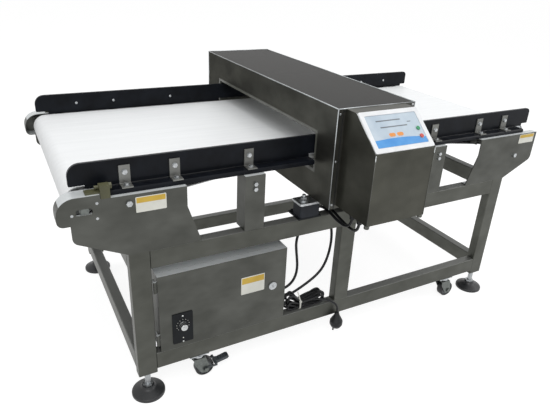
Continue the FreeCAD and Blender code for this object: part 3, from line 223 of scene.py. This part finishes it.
def caster_tyre(name, node):
    """Caster wheel: black rubber tread on a grey polypropylene core."""
    low, high = (Vector(corner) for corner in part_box(node))
    middle = (low + high) / 2
    material, tree = new_material(name)
    place = add(tree, "ShaderNodeTexCoord")
    moved = add(tree, "ShaderNodeMapping",
                {"Location": (-middle.x, 0, -middle.z), "Scale": (1, 0, 1)},
                {"Vector": place.outputs["Object"]})
    reach = add(tree, "ShaderNodeVectorMath", links={0: moved.outputs[0]}, operation="LENGTH")
    tread = add(tree, "ShaderNodeMath", {1: (high.z - low.z) / 2 - 0.0065},
                {0: reach.outputs["Value"]}, operation="GREATER_THAN")
    colour = add(tree, "ShaderNodeMix", {6: linear("6f7376"), 7: linear("17181a")},
                 {0: tread.outputs[0]}, data_type="RGBA")
    grain = stretched(tree, (1, 1, 1))
    normal = bumped(tree, grain, 0.25, 0.05)
    close(tree, add(tree, "ShaderNodeBsdfPrincipled", {"Roughness": 0.5},
                    {"Base Color": colour.outputs[2], "Normal": normal.outputs[0]}))
    return material


# painted shade: the head's upward faces are darkened to a near-black tone
head_steel = brushed_steel("brushed stainless, detector head", "4b4b47", "5b5b56",
                           grain=(1.2, 1.2, 60), roughness=0.4, painted_top_tone="242320",
                           edge=(0.2, 0.2, 0.2, 1))
box_steel = brushed_steel("brushed stainless, control box", "42423c", "4f4f48",
                          grain=(1.2, 1.2, 60))
# painted highlight: upward faces of the tube and of the plates, flanges and cabinet are lightened
# for the light that falls on them
frame_steel = brushed_steel("brushed stainless tube", "4c4d48", "5a5b56", painted_top_tone="6f706d")
sheet_steel = brushed_steel("brushed stainless plates", "4b4c48", "5b5c58", painted_top_tone="d2d6d7")
# painted highlight: a light steel for the bright strips along the detector head's edges
edge_highlight_steel = brushed_steel("painted edge highlight steel", "8c8f90", "b4b8ba", roughness=0.3)
# painted highlight: upward faces of the posts are lightened for the light that falls on them
post_steel = brushed_steel("brushed stainless posts", "4c4d49", "5c5d59", grain=(1.2, 1.2, 60),
                           painted_top_tone="d2d6d7")
bracket_steel = brushed_steel("bead-blasted stainless brackets", "6d6d6a", "868784",
                              grain=(1.5, 1.5, 1.5), roughness=0.5)
zinc_plate = plated("bright zinc plate", "9a9d9f", "c6c9cb")
fork_zinc = plated("dull passivated zinc", "5f6361", "767a77", 0.42)
nickel_plate = plated("nickel-plated brass", "a9abaa", "d4d6d6", 0.22)
black_sheet = moulded("black powder coat", "121416", "1a1d20", 0.45, 0.6, shine=0.15)
guide_plastic = moulded("black polyethylene guide", "0d0f13", "171a20", 0.36, 1.5, shine=0.12)
pedal_paint = moulded("black-passivated steel pedal", "2f3437", "454b4f", 0.38, 3.0, 0.1)
nylon_black = moulded("black nylon", "121315", "1c1e20", 0.42, shine=0.3)
rubber = moulded("black natural rubber", "1a1d22", "262a30", 0.6, shine=0.25)
cable_jacket = moulded("black PVC jacket", "0b0c0d", "15161a", 0.38, 1.5, shine=0.3)
board = moulded("grey laminate board", "b4b6b4", "c6c8c6", 0.5)
glass_fibre = moulded("glass-fibre liner", "55564f", "64655f", 0.4, 2.0)
motor_paint = moulded("cast aluminium, grey enamel", "4c5257", "60676c", 0.45, 1.2, 0.08)
olive_block = moulded("olive-painted take-up", "45452f", "5c5b40", 0.5)
bezel_white = moulded("white ABS bezel", "e4e6e8", "f1f2f4", 0.35)
screen_film = moulded("polyester keypad film", "b4c4d2", "c6d3de", 0.25, 3.0, 0.01, coat=0.3)
film_blue = moulded("blue print on film", "4391d8", "5aa4e4", 0.25, 3.0, 0.01, coat=0.3)
film_grey = moulded("grey print on film", "6b7178", "7d848b", 0.25, 3.0, 0.01, coat=0.3)
film_orange = moulded("orange print on film", "e08a3c", "f0a45c", 0.25, 3.0, 0.01, coat=0.3)
key_green = moulded("green key", "1d7f52", "2c9863", 0.3, 3.0, 0.01, coat=0.3)
key_red = moulded("red key", "b8352c", "cf473c", 0.3, 3.0, 0.01, coat=0.3)
plate_pale = moulded("pale plate", "dcdcd2", "ebebe2", 0.4)
plate_amber = moulded("amber band", "c9a53a", "d9b64a", 0.4)
tie_nylon = moulded("natural nylon tie", "cfcfc8", "e4e4de", 0.4)
gasket = moulded("black gasket", "0c0d0e", "151617", 0.7)
belt_white = belt_cloth("white PVC belt")
foot_finish = by_height("nylon pad and zinc screw", 25.5, ("17181a", "232527"),
                        ("8d9092", "b9bcbe"))

FINISHES = {
    "legs": frame_steel, "rails": frame_steel, "caster_plates": zinc_plate,
    "side_plates": sheet_steel, "bed_posts": post_steel, "bed_bearers": sheet_steel,
    "slider_board": board, "bed_sheets": frame_steel, "bed_rails": guide_plastic,
    "belt": belt_white, "bearings_and_axles": fork_zinc, "gearmotor": motor_paint,
    "drive_belt": rubber, "side_guides": guide_plastic, "guide_brackets": bracket_steel,
    "bolts": zinc_plate, "end_guards": sheet_steel, "take_ups": olive_block,
    "head_case": head_steel, "head_cover": head_steel, "tunnel_liner": glass_fibre,
    "mount_plates": black_sheet, "mount_rubbers": rubber, "head_feet": zinc_plate,
    "control_box": box_steel, "control_bezel": bezel_white, "control_screen": screen_film,
    "green_key": key_green, "red_key": key_red, "cabinet_body": sheet_steel,
    "cabinet_door": sheet_steel, "cabinet_lock": zinc_plate, "speed_plate": black_sheet,
    "speed_knob": nickel_plate, "drive_unit": motor_paint, "mains_plug": nylon_black,
    "cable_glands": nylon_black, "drive_roller": zinc_plate, "tail_roller": zinc_plate,
    "idler_left": zinc_plate, "idler_right": zinc_plate, "motor_pulley": zinc_plate,
}
for node_name, node_object in NODES.items():
    finish = FINISHES.get(node_name)
    if node_name.startswith("foot_"):
        finish = foot_finish
    if node_name.startswith("caster_fork"):
        finish = fork_zinc
    if node_name.startswith("caster_wheel"):
        finish = caster_tyre("tyre and core of " + node_name, node_name)
    if node_name.startswith("brake_pedal"):
        finish = pedal_paint
    for material_slot in node_object.material_slots:
        material_slot.material = finish or cable_jacket


# ---------------------------------------------------------------- shapes
def finished(bm, name, material, body="frame", smooth=False):
    """Turn a bmesh into an object at the origin that rides on a body."""
    bmesh.ops.recalc_face_normals(bm, faces=bm.faces)
    mesh = bpy.data.meshes.new(name)
    bm.to_mesh(mesh)
    bm.free()
    mesh.materials.append(material)
    for face in mesh.polygons:
        face.use_smooth = smooth
    piece = bpy.data.objects.new(name, mesh)
    bpy.context.scene.collection.objects.link(piece)
    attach(piece, body)
    return piece


def moved_by(bm, verts, place, turn=None):
    matrix = Matrix.Translation(place) @ (turn.to_4x4() if turn else Matrix())
    bmesh.ops.transform(bm, matrix=matrix, verts=verts)


def slab(bm, size, place, turn=None, corner=0.0, edge=0.0):
    """Block of so many millimetres, its upright corners rounded and its edges broken."""
    made = bmesh.ops.create_cube(bm, size=1.0)["verts"]
    bmesh.ops.scale(bm, vec=Vector(size) * MM, verts=made)
    faces = {face for vert in made for face in vert.link_faces}
    if corner:
        upright = [e for e in {e for f in faces for e in f.edges}
                   if abs(e.verts[0].co.z - e.verts[1].co.z) > size[2] * MM / 2]
        bevelled = bmesh.ops.bevel(bm, geom=upright, offset=corner * MM, segments=5,
                                   profile=0.5, affect="EDGES", material=-1)
        faces = {f for f in faces if f.is_valid} | set(bevelled["faces"])
    if edge:
        rims = [e for e in {e for f in faces for e in f.edges} if e.calc_face_angle(0) > 1.0]
        bevelled = bmesh.ops.bevel(bm, geom=rims, offset=edge * MM, segments=2,
                                   profile=0.5, affect="EDGES", material=-1)
        faces = {f for f in faces if f.is_valid} | set(bevelled["faces"])
    verts = list({v for f in faces for v in f.verts})
    moved_by(bm, verts, place, turn)


AXIS_TURN = {"x": Matrix.Rotation(math.radians(90), 3, "Y"),
             "y": Matrix.Rotation(math.radians(-90), 3, "X"), "z": Matrix.Identity(3),
             "-y": Matrix.Rotation(math.radians(90), 3, "X"),
             "-z": Matrix.Rotation(math.radians(180), 3, "X")}


def disc(bm, radius, height, place, along="z", segments=32, dome=0.0, turn=None):
    """Round or many-sided head that stands on place; dome rounds its free rim."""
    made = bmesh.ops.create_cone(bm, cap_ends=True, segments=segments, radius1=radius * MM,
                                 radius2=radius * MM, depth=height * MM)["verts"]
    bmesh.ops.translate(bm, vec=(0, 0, height * MM / 2), verts=made)
    faces = {face for vert in made for face in vert.link_faces}
    if dome:
        rim = [e for e in {e for f in faces for e in f.edges}
               if min(v.co.z for v in e.verts) > height * MM * 0.9]
        bevelled = bmesh.ops.bevel(bm, geom=rim, offset=dome * MM, segments=4, profile=0.5,
                                   affect="EDGES", material=-1)
        faces = {f for f in faces if f.is_valid} | set(bevelled["faces"])
    verts = list({v for f in faces for v in f.verts})
    moved_by(bm, verts, place, turn or AXIS_TURN[along])


def screw_heads(name, places, along, radius=4.5, height=2.2, material=None, body="frame"):
    """Pan-head screws, domed, standing on a face that looks along the given axis."""
    bm = bmesh.new()
    for place in places:
        disc(bm, radius, height, place, along, 24, dome=height * 0.7)
    return finished(bm, name, material or zinc_plate, body, smooth=True)


def bead(bm, start, end, radius):
    """Round bead between two points, used for welds and for painted highlight strips along edges."""
    run = end - start
    made = bmesh.ops.create_cone(bm, cap_ends=True, segments=12, radius1=radius * MM,
                                 radius2=radius * MM, depth=run.length)["verts"]
    turn = Vector((0, 0, 1)).rotation_difference(run.normalized()).to_matrix()
    moved_by(bm, made, (start + end) / 2, turn)


# ---------------------------------------------------------------- detector head
def head_details():
    # painted highlight: bright round strips along the head's upright and top edges stand in for
    # light caught at its rounded edges
    bm = bmesh.new()
    for x in (-HEAD_HALF, HEAD_HALF):
        for y in (HEAD_NEAR, HEAD_FAR):
            bead(bm, at(x, y, HEAD_LOW), at(x, y, HEAD_TOP), 1.4)
        bead(bm, at(x, HEAD_NEAR, HEAD_TOP), at(x, HEAD_FAR, HEAD_TOP), 1.4)
    for y in (HEAD_NEAR, HEAD_FAR):
        bead(bm, at(-HEAD_HALF, y, HEAD_TOP), at(HEAD_HALF, y, HEAD_TOP), 1.4)
    finished(bm, "head_edge_highlights", edge_highlight_steel, smooth=True)

    bm = bmesh.new()
    tall = HEAD_TOP - 7 - HEAD_LOW
    for x in (-106, 106):
        slab(bm, (2.4, 1.2, tall), at(x, HEAD_NEAR + 0.2, HEAD_LOW + tall / 2))
    slab(bm, (212, 1.2, 2.4), at(0, HEAD_NEAR + 0.2, HEAD_TOP - 7))
    finished(bm, "head_cover_gasket", gasket)

    screw_heads("head_cover_screws", [
        at(x, HEAD_NEAR, z) for x, z in
        ((-113, 742), (113, 749), (-113, 620), (113, 620), (-113, 500), (113, 500))], "-y", 3.2, 1.8)
    screw_heads("head_far_screws", [
        at(x, HEAD_FAR, z) for x in (-108, 108) for z in (500, 620, 742)], "y", 3.2, 1.8)

    bm = bmesh.new()
    for side in (-1, 1):
        for depth in (-1, 1):
            disc(bm, 5.2, 6, at(150 * side, 335 * depth, 497), "z", 24, dome=4.5)
    finished(bm, "mount_cap_nuts", zinc_plate, smooth=True)


# ---------------------------------------------------------------- control box
RISE, RUN = BOX_TOP - BOX_BROW, BOX_BACK - BOX_FRONT
SLOPE = math.hypot(RISE, RUN)
TILT = Matrix.Rotation(math.atan2(RISE, RUN), 3, "X")
FACE_MIDDLE = (BOX_LEFT + BOX_RIGHT) / 2


def on_face(x, up, out):
    """Place on the sloping face: x from its middle, up the slope from its brow, and out of it."""
    return at(FACE_MIDDLE, BOX_FRONT, BOX_BROW) + TILT @ (Vector((x, up, out)) * MM)


def control_details():
    print_low, print_high = 2.0, 0.3
    bm = bmesh.new()
    for x, up, wide, tall in ((-14, 88, 74, 3.2), (-4, 70, 82, 3.2), (46, 79, 12, 2.2)):
        slab(bm, (wide, tall, print_high), on_face(x, up, print_low), TILT, 1.0)
    finished(bm, "screen_dark_bars", film_grey)

    bm = bmesh.new()
    for x in (-20, 4):
        slab(bm, (19, 10, print_high), on_face(x, 48, print_low), TILT, 4.6)
    finished(bm, "screen_orange_keys", film_orange)

    key_low, key_high = (Vector(corner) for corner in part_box("red_key"))
    key_at = TILT.transposed() @ ((key_low + key_high) / 2 - on_face(0, 0, 0)) / MM
    key_reach = (key_high.x - key_low.x) / 2 / MM + 1.2
    bm = bmesh.new()
    made = bmesh.ops.create_grid(bm, x_segments=120, y_segments=1, size=0.5)["verts"]
    width, base, height = 153.0, 17.0, 17.0
    for vert in made:
        along = vert.co.x
        swell = 5 * math.sin((along + 0.5) * math.pi * 0.9) - 6 * along
        top = base + height + swell
        aside = abs(along * width - key_at.x)
        if aside < key_reach:
            top = min(top, key_at.y - math.sqrt(key_reach ** 2 - aside ** 2))
        vert.co = (along * width * MM, (top if vert.co.y > 0 else base) * MM,
                   (print_low + 0.1) * MM)
    raised = bmesh.ops.extrude_face_region(bm, geom=list(bm.faces))
    bmesh.ops.translate(bm, vec=(0, 0, 0.15 * MM),
                        verts=[g for g in raised["geom"] if isinstance(g, bmesh.types.BMVert)])
    moved_by(bm, bm.verts, at(FACE_MIDDLE, BOX_FRONT, BOX_BROW), TILT)
    finished(bm, "screen_blue_band", film_blue)

    bm = bmesh.new()
    for x, y in ((BOX_LEFT + 5, BOX_FRONT + 6), (BOX_RIGHT - 5, BOX_FRONT + 6),
                 (BOX_RIGHT - 5, HEAD_NEAR - 8)):
        disc(bm, 7, 9, at(x, y, BOX_LOW), "-z", 24, dome=2.5)
    finished(bm, "control_cover_bumpers", frame_steel, smooth=True)

    bm = bmesh.new()
    for y in (-470, -500):
        disc(bm, 9.6, 4, at(-85, y, BOX_LOW), "-z", 6)
    finished(bm, "gland_locknuts", nickel_plate)

    bm = bmesh.new()
    for x in (BOX_LEFT, BOX_RIGHT):
        bead(bm, at(x, BOX_FRONT, BOX_LOW), at(x, BOX_FRONT, BOX_BROW), 1.0)
        bead(bm, at(x, BOX_FRONT, BOX_BROW), at(x, BOX_BACK, BOX_TOP), 1.0)
    finished(bm, "control_ground_welds", sheet_steel, smooth=True)


# ---------------------------------------------------------------- conveyor
def conveyor_details():
    screw_heads("guide_screws_near", [at(x, -GUIDE_Y, GUIDE_SCREW_Z) for x in BRACKETS], "y", 4.2)
    screw_heads("guide_screws_far", [at(x, GUIDE_Y, GUIDE_SCREW_Z) for x in BRACKETS], "-y", 4.2)
    guard = ((-686, 584), (-739, 563), (-688, 548))
    screw_heads("guard_screws_near", [at(x, -FRAME_Y, z) for x, z in guard], "-y", 4)
    screw_heads("guard_screws_far", [at(x, FRAME_Y, z) for x, z in guard], "y", 4)

    bm = bmesh.new()
    for x in BRACKETS:
        for side, along in ((-1, "-y"), (1, "y")):
            disc(bm, 6.2, 1.4, at(x, 319 * side, GUIDE_SCREW_Z), along, 32)
            disc(bm, 7.5, 1.4, at(x, 331 * side, 605), "z", 32)
    finished(bm, "bracket_washers", zinc_plate)

    bm = bmesh.new()
    for y in (-SKIRT_Y, SKIRT_Y):
        for left, right in ((-700, -131), (131, 712)):
            slab(bm, (right - left, 5, 8.4), at((left + right) / 2, y, 607.7))
    finished(bm, "guide_skirts", guide_plastic)


def bare_plates():
    """Plain two-tone plates where such machines carry their safety notes."""
    places = (("plate_left", at(-569, -FRAME_Y - 0.3, 564), 70, 38, "frame"),
              ("plate_right", at(698, -FRAME_Y - 0.3, 573), 70, 30, "frame"),
              ("plate_door", at(-306, -FRAME_Y - 0.3, 272), 70, 54, "cabinet_door"))
    for name, place, wide, tall, body in places:
        turn = Matrix.Rotation(math.radians(90), 3, "X")
        bm = bmesh.new()
        slab(bm, (wide, tall, 0.6), place, turn, 2.0)
        finished(bm, name, plate_pale, body)
        bm = bmesh.new()
        band = place + Vector((0, -0.4 * MM, tall * 0.28 * MM))
        slab(bm, (wide - 4, tall * 0.34, 0.4), band, turn, 1.0)
        finished(bm, name + "_band", plate_amber, body)


# ---------------------------------------------------------------- cabinet and drive
def cabinet_details():
    face = -FRAME_Y - 2
    screw_heads("speed_plate_screws", [at(-507, face, z) for z in (231, 149)], "-y", 2.6, 1.4,
                nickel_plate, "cabinet_door")
    bm = bmesh.new()
    disc(bm, 1.6, 1.0, at(-507, face, 161), "-y", 16)
    for step in range(11):
        swing = math.radians(-135 + 27 * step)
        place = at(-507 + 17 * math.sin(swing), face - 0.1, 202 + 17 * math.cos(swing))
        disc(bm, 0.9, 0.3, place, "-y", 12)
    finished(bm, "speed_scale_dots", plate_pale, "cabinet_door")

    bm = bmesh.new()
    for step in range(9):
        place = at(600, 90 + 11 * step, 490)
        ring = bmesh.ops.create_cone(bm, cap_ends=False, segments=48, radius1=0.0405,
                                     radius2=0.0405, depth=0.003)["verts"]
        moved_by(bm, ring, place, AXIS_TURN["y"])
    bmesh.ops.solidify(bm, geom=list(bm.faces), thickness=0.003)
    finished(bm, "motor_fins", motor_paint, smooth=True)


# ---------------------------------------------------------------- cables
SIGNAL_ROUTE = [
    (-85, -470, 479.3), (-85, -468, 468), (-86, -461, 457), (-87, -449, 450), (-88, -433, 448),
    (-89, -412, 450), (-89, -388, 455), (-88, -362, 458), (-88, -336, 457), (-89, -316, 448),
    (-93, -303, 431), (-103, -297, 410), (-119, -295, 388), (-133, -295, 363), (-140, -296, 334),
    (-138, -298, 304), (-134, -299, 276), (-132, -300, 250), (-135, -301, 226),
    (-145, -302, 205), (-160, -301, 191), (-176, -300, 185), (-189, -300, 185)]
POWER_ROUTE = [
    (-85, -500, 479.3), (-85, -498, 468), (-84, -491, 457), (-82, -479, 450), (-79, -463, 446),
    (-77, -443, 445), (-76, -421, 447), (-76, -397, 452), (-75, -370, 458), (-74, -342, 458),
    (-68, -320, 449), (-56, -306, 432), (-40, -299, 409), (-27, -296, 380), (-18, -297, 348),
    (-16, -298, 314), (-20, -299, 280), (-28, -300, 250), (-42, -301, 222), (-62, -301, 202),
    (-86, -301, 187), (-114, -301, 173), (-142, -301, 161), (-168, -300, 155), (-189, -300, 155)]
LEAD_ROUTE = [
    (-80, -350, 152), (-62, -358, 151), (-44, -367, 144), (-29, -371, 131), (-20, -372, 115),
    (-20, -372, 100)]
HANK_TURNS = 7


def hank_turns():
    """Turns of the mains lead: tight at the tie, open loops at both ends."""
    points = [(-189, -334, 160), (-178, -335, 157), (-163, -340, 147)]
    for turn in range(HANK_TURNS):
        y = -349 + 5.2 * turn
        swing = 3.0 if turn % 2 else -3.0
        waist_y = -345 + 7 * (turn // 2)
        low, high = 135.5 + 6.8 * (turn % 2), 149.0 + 6.8 * (turn % 2)
        right_r, left_r = 15.5 + 1.2 * (turn % 3), 15.0 + 3.0 * (turn % 4)
        right_x, left_x = -78 + 3.0 * (turn % 4), -171 + 5.0 * (turn % 3)
        right_z = RAIL_TOP + 4 + right_r
        left_z = RAIL_TOP + 5 + left_r + (12 if left_r < 20 and turn % 4 else 0)
        points += [(-143, waist_y, low), (-118, y + swing / 2, RAIL_TOP + 4.5)]
        points += [(right_x + right_r * math.cos(a), y + swing * math.sin(a),
                    right_z + right_r * math.sin(a))
                   for a in (math.radians(d) for d in (-90, -45, 0, 45, 90))]
        points += [(-118, y - swing / 2, 156), (-143, waist_y + 1, high)]
        points += [(left_x + left_r * math.cos(a), y + 2.6 + swing * math.sin(a) / 2,
                    left_z + left_r * math.sin(a))
                   for a in (math.radians(d) for d in (90, 135, 180, 225, 270))]
    return points + [(-143, -324, 142), (-120, -331, 147), (-100, -341, 151)]


def cord_piece(name, route, diameter, body="frame"):
    """Smooth round cord on a NURBS spline through the route's control points."""
    curve = bpy.data.curves.new(name, "CURVE")
    curve.dimensions = "3D"
    curve.bevel_depth = diameter / 2
    curve.bevel_resolution = 4
    curve.resolution_u = 8
    curve.use_fill_caps = True
    spline = curve.splines.new("NURBS")
    spline.points.add(len(route) - 1)
    for point, place in zip(spline.points, route):
        point.co = (*at(*place), 1)
    spline.order_u = 3
    spline.use_endpoint_u = True
    curve.materials.append(cable_jacket)
    piece = bpy.data.objects.new(name, curve)
    bpy.context.scene.collection.objects.link(piece)
    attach(piece, body)
    return piece


def cords():
    signal = cord_piece("signal_cord", SIGNAL_ROUTE, 0.008)
    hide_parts("signal_cable")
    power = cord_piece("power_cord", POWER_ROUTE, 0.008)
    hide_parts("power_cable")
    mains_route = hank_turns() + LEAD_ROUTE
    mains = cord_piece("mains_cord", mains_route, 0.0066)
    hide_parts("mains_hank", "mains_lead")

    bm = bmesh.new()
    tie = bmesh.ops.create_cube(bm, size=1.0)["verts"]
    bmesh.ops.scale(bm, vec=(0.0045, 0.031, 0.030), verts=tie)
    bmesh.ops.bevel(bm, geom=[e for e in bm.edges
                              if abs(e.verts[0].co.x - e.verts[1].co.x) > 0.002],
                    offset=0.009, segments=5, profile=0.5, affect="EDGES", material=-1)
    caps = [f for f in bm.faces if abs(f.normal.x) > 0.9]
    bmesh.ops.delete(bm, geom=caps, context="FACES_ONLY")
    bmesh.ops.solidify(bm, geom=list(bm.faces), thickness=-0.0012)
    bmesh.ops.translate(bm, vec=at(-143, -334, 146), verts=bm.verts)
    slab(bm, (7, 6, 5), at(-143, -350, 160), edge=0.6)
    slab(bm, (3, 1.2, 34), at(-145, -344, 174),
         Matrix.Rotation(math.radians(-12), 3, "Y") @ Matrix.Rotation(math.radians(-18), 3, "X"))
    finished(bm, "hank_tie", tie_nylon)


# ---------------------------------------------------------------- studio
def seen_directly(tree):
    """One on rays from the camera, from a glossy surface or through glass, and else nought."""
    rays = add(tree, "ShaderNodeLightPath")
    seen = add(tree, "ShaderNodeMath", links={0: rays.outputs["Is Camera Ray"],
                                              1: rays.outputs["Is Glossy Ray"]},
               operation="MAXIMUM")
    return add(tree, "ShaderNodeMath", links={0: seen.outputs[0],
                                              1: rays.outputs["Is Transmission Ray"]},
               operation="MAXIMUM").outputs[0]


def studio():
    scene = bpy.context.scene
    scene.view_settings.view_transform = "Standard"

    world = bpy.data.worlds.new("studio")
    scene.world = world
    world.use_nodes = True
    tree = world.node_tree
    tree.nodes.clear()
    level = add(tree, "ShaderNodeMapRange", {"To Min": 0.42, "To Max": 1.0},
                {"Value": seen_directly(tree)})
    sky = add(tree, "ShaderNodeBackground", {"Color": (1, 1, 1, 1)},
              {"Strength": level.outputs[0]})
    add(tree, "ShaderNodeOutputWorld", links={"Surface": sky.outputs[0]})

    bm = bmesh.new()
    bmesh.ops.create_grid(bm, x_segments=1, y_segments=1, size=20.0)
    bmesh.ops.translate(bm, vec=(0, 0, -0.0005), verts=bm.verts)
    mesh = bpy.data.meshes.new("studio_floor")
    bm.to_mesh(mesh)
    bm.free()
    floor = bpy.data.objects.new("studio_floor", mesh)
    scene.collection.objects.link(floor)
    material, tree = new_material("white studio floor")
    paint = add(tree, "ShaderNodeBsdfDiffuse", {"Color": (0.32, 0.32, 0.32, 1)})
    lift = add(tree, "ShaderNodeEmission", {"Color": (1, 1, 1, 1), "Strength": 0.86})
    lifted = add(tree, "ShaderNodeAddShader", links={0: paint.outputs[0], 1: lift.outputs[0]})
    plain = add(tree, "ShaderNodeBsdfDiffuse", {"Color": (0.7, 0.7, 0.7, 1)})
    close(tree, add(tree, "ShaderNodeMixShader",
                    links={0: seen_directly(tree), 1: plain.outputs[0], 2: lifted.outputs[0]}))
    mesh.materials.append(material)

    lamps = (("key", (-1.6, -2.6, 3.0), 2.2, 50), ("fill", (2.8, -1.4, 2.0), 2.0, 28),
             ("top", (0.2, 0.6, 3.4), 2.6, 40))
    for name, place, size, power in lamps:
        light = bpy.data.lights.new(name, "AREA")
        light.size = size
        light.energy = power
        lamp = bpy.data.objects.new(name, light)
        scene.collection.objects.link(lamp)
        lamp.location = place
        aim = Vector((0, 0, 0.4)) - Vector(place)
        lamp.rotation_euler = aim.to_track_quat("-Z", "Y").to_euler()

    yaw, pitch, roll = (math.radians(a) for a in (-29.6967, -25.3631, 3.0582))
    forward = Vector((-math.sin(yaw) * math.cos(pitch), math.cos(yaw) * math.cos(pitch),
                      math.sin(pitch)))
    level_right = forward.cross(Vector((0, 0, 1))).normalized()
    level_up = level_right.cross(forward)
    right = level_right * math.cos(roll) + level_up * math.sin(roll)
    up = level_up * math.cos(roll) - level_right * math.sin(roll)
    camera = bpy.data.objects.new("camera", bpy.data.cameras.new("camera"))
    scene.collection.objects.link(camera)
    camera.matrix_world = Matrix.Translation(at(-842.5, -1411.1, 1073.4)) @ Matrix(
        (right, up, -forward)).transposed().to_4x4()
    camera.data.lens = 33.97
    camera.data.sensor_width = 36
    camera.data.shift_x = -0.0056
    camera.data.shift_y = -0.0015
    scene.camera = camera


studio()
cords()
head_details()
control_details()
conveyor_details()
bare_plates()
cabinet_details()
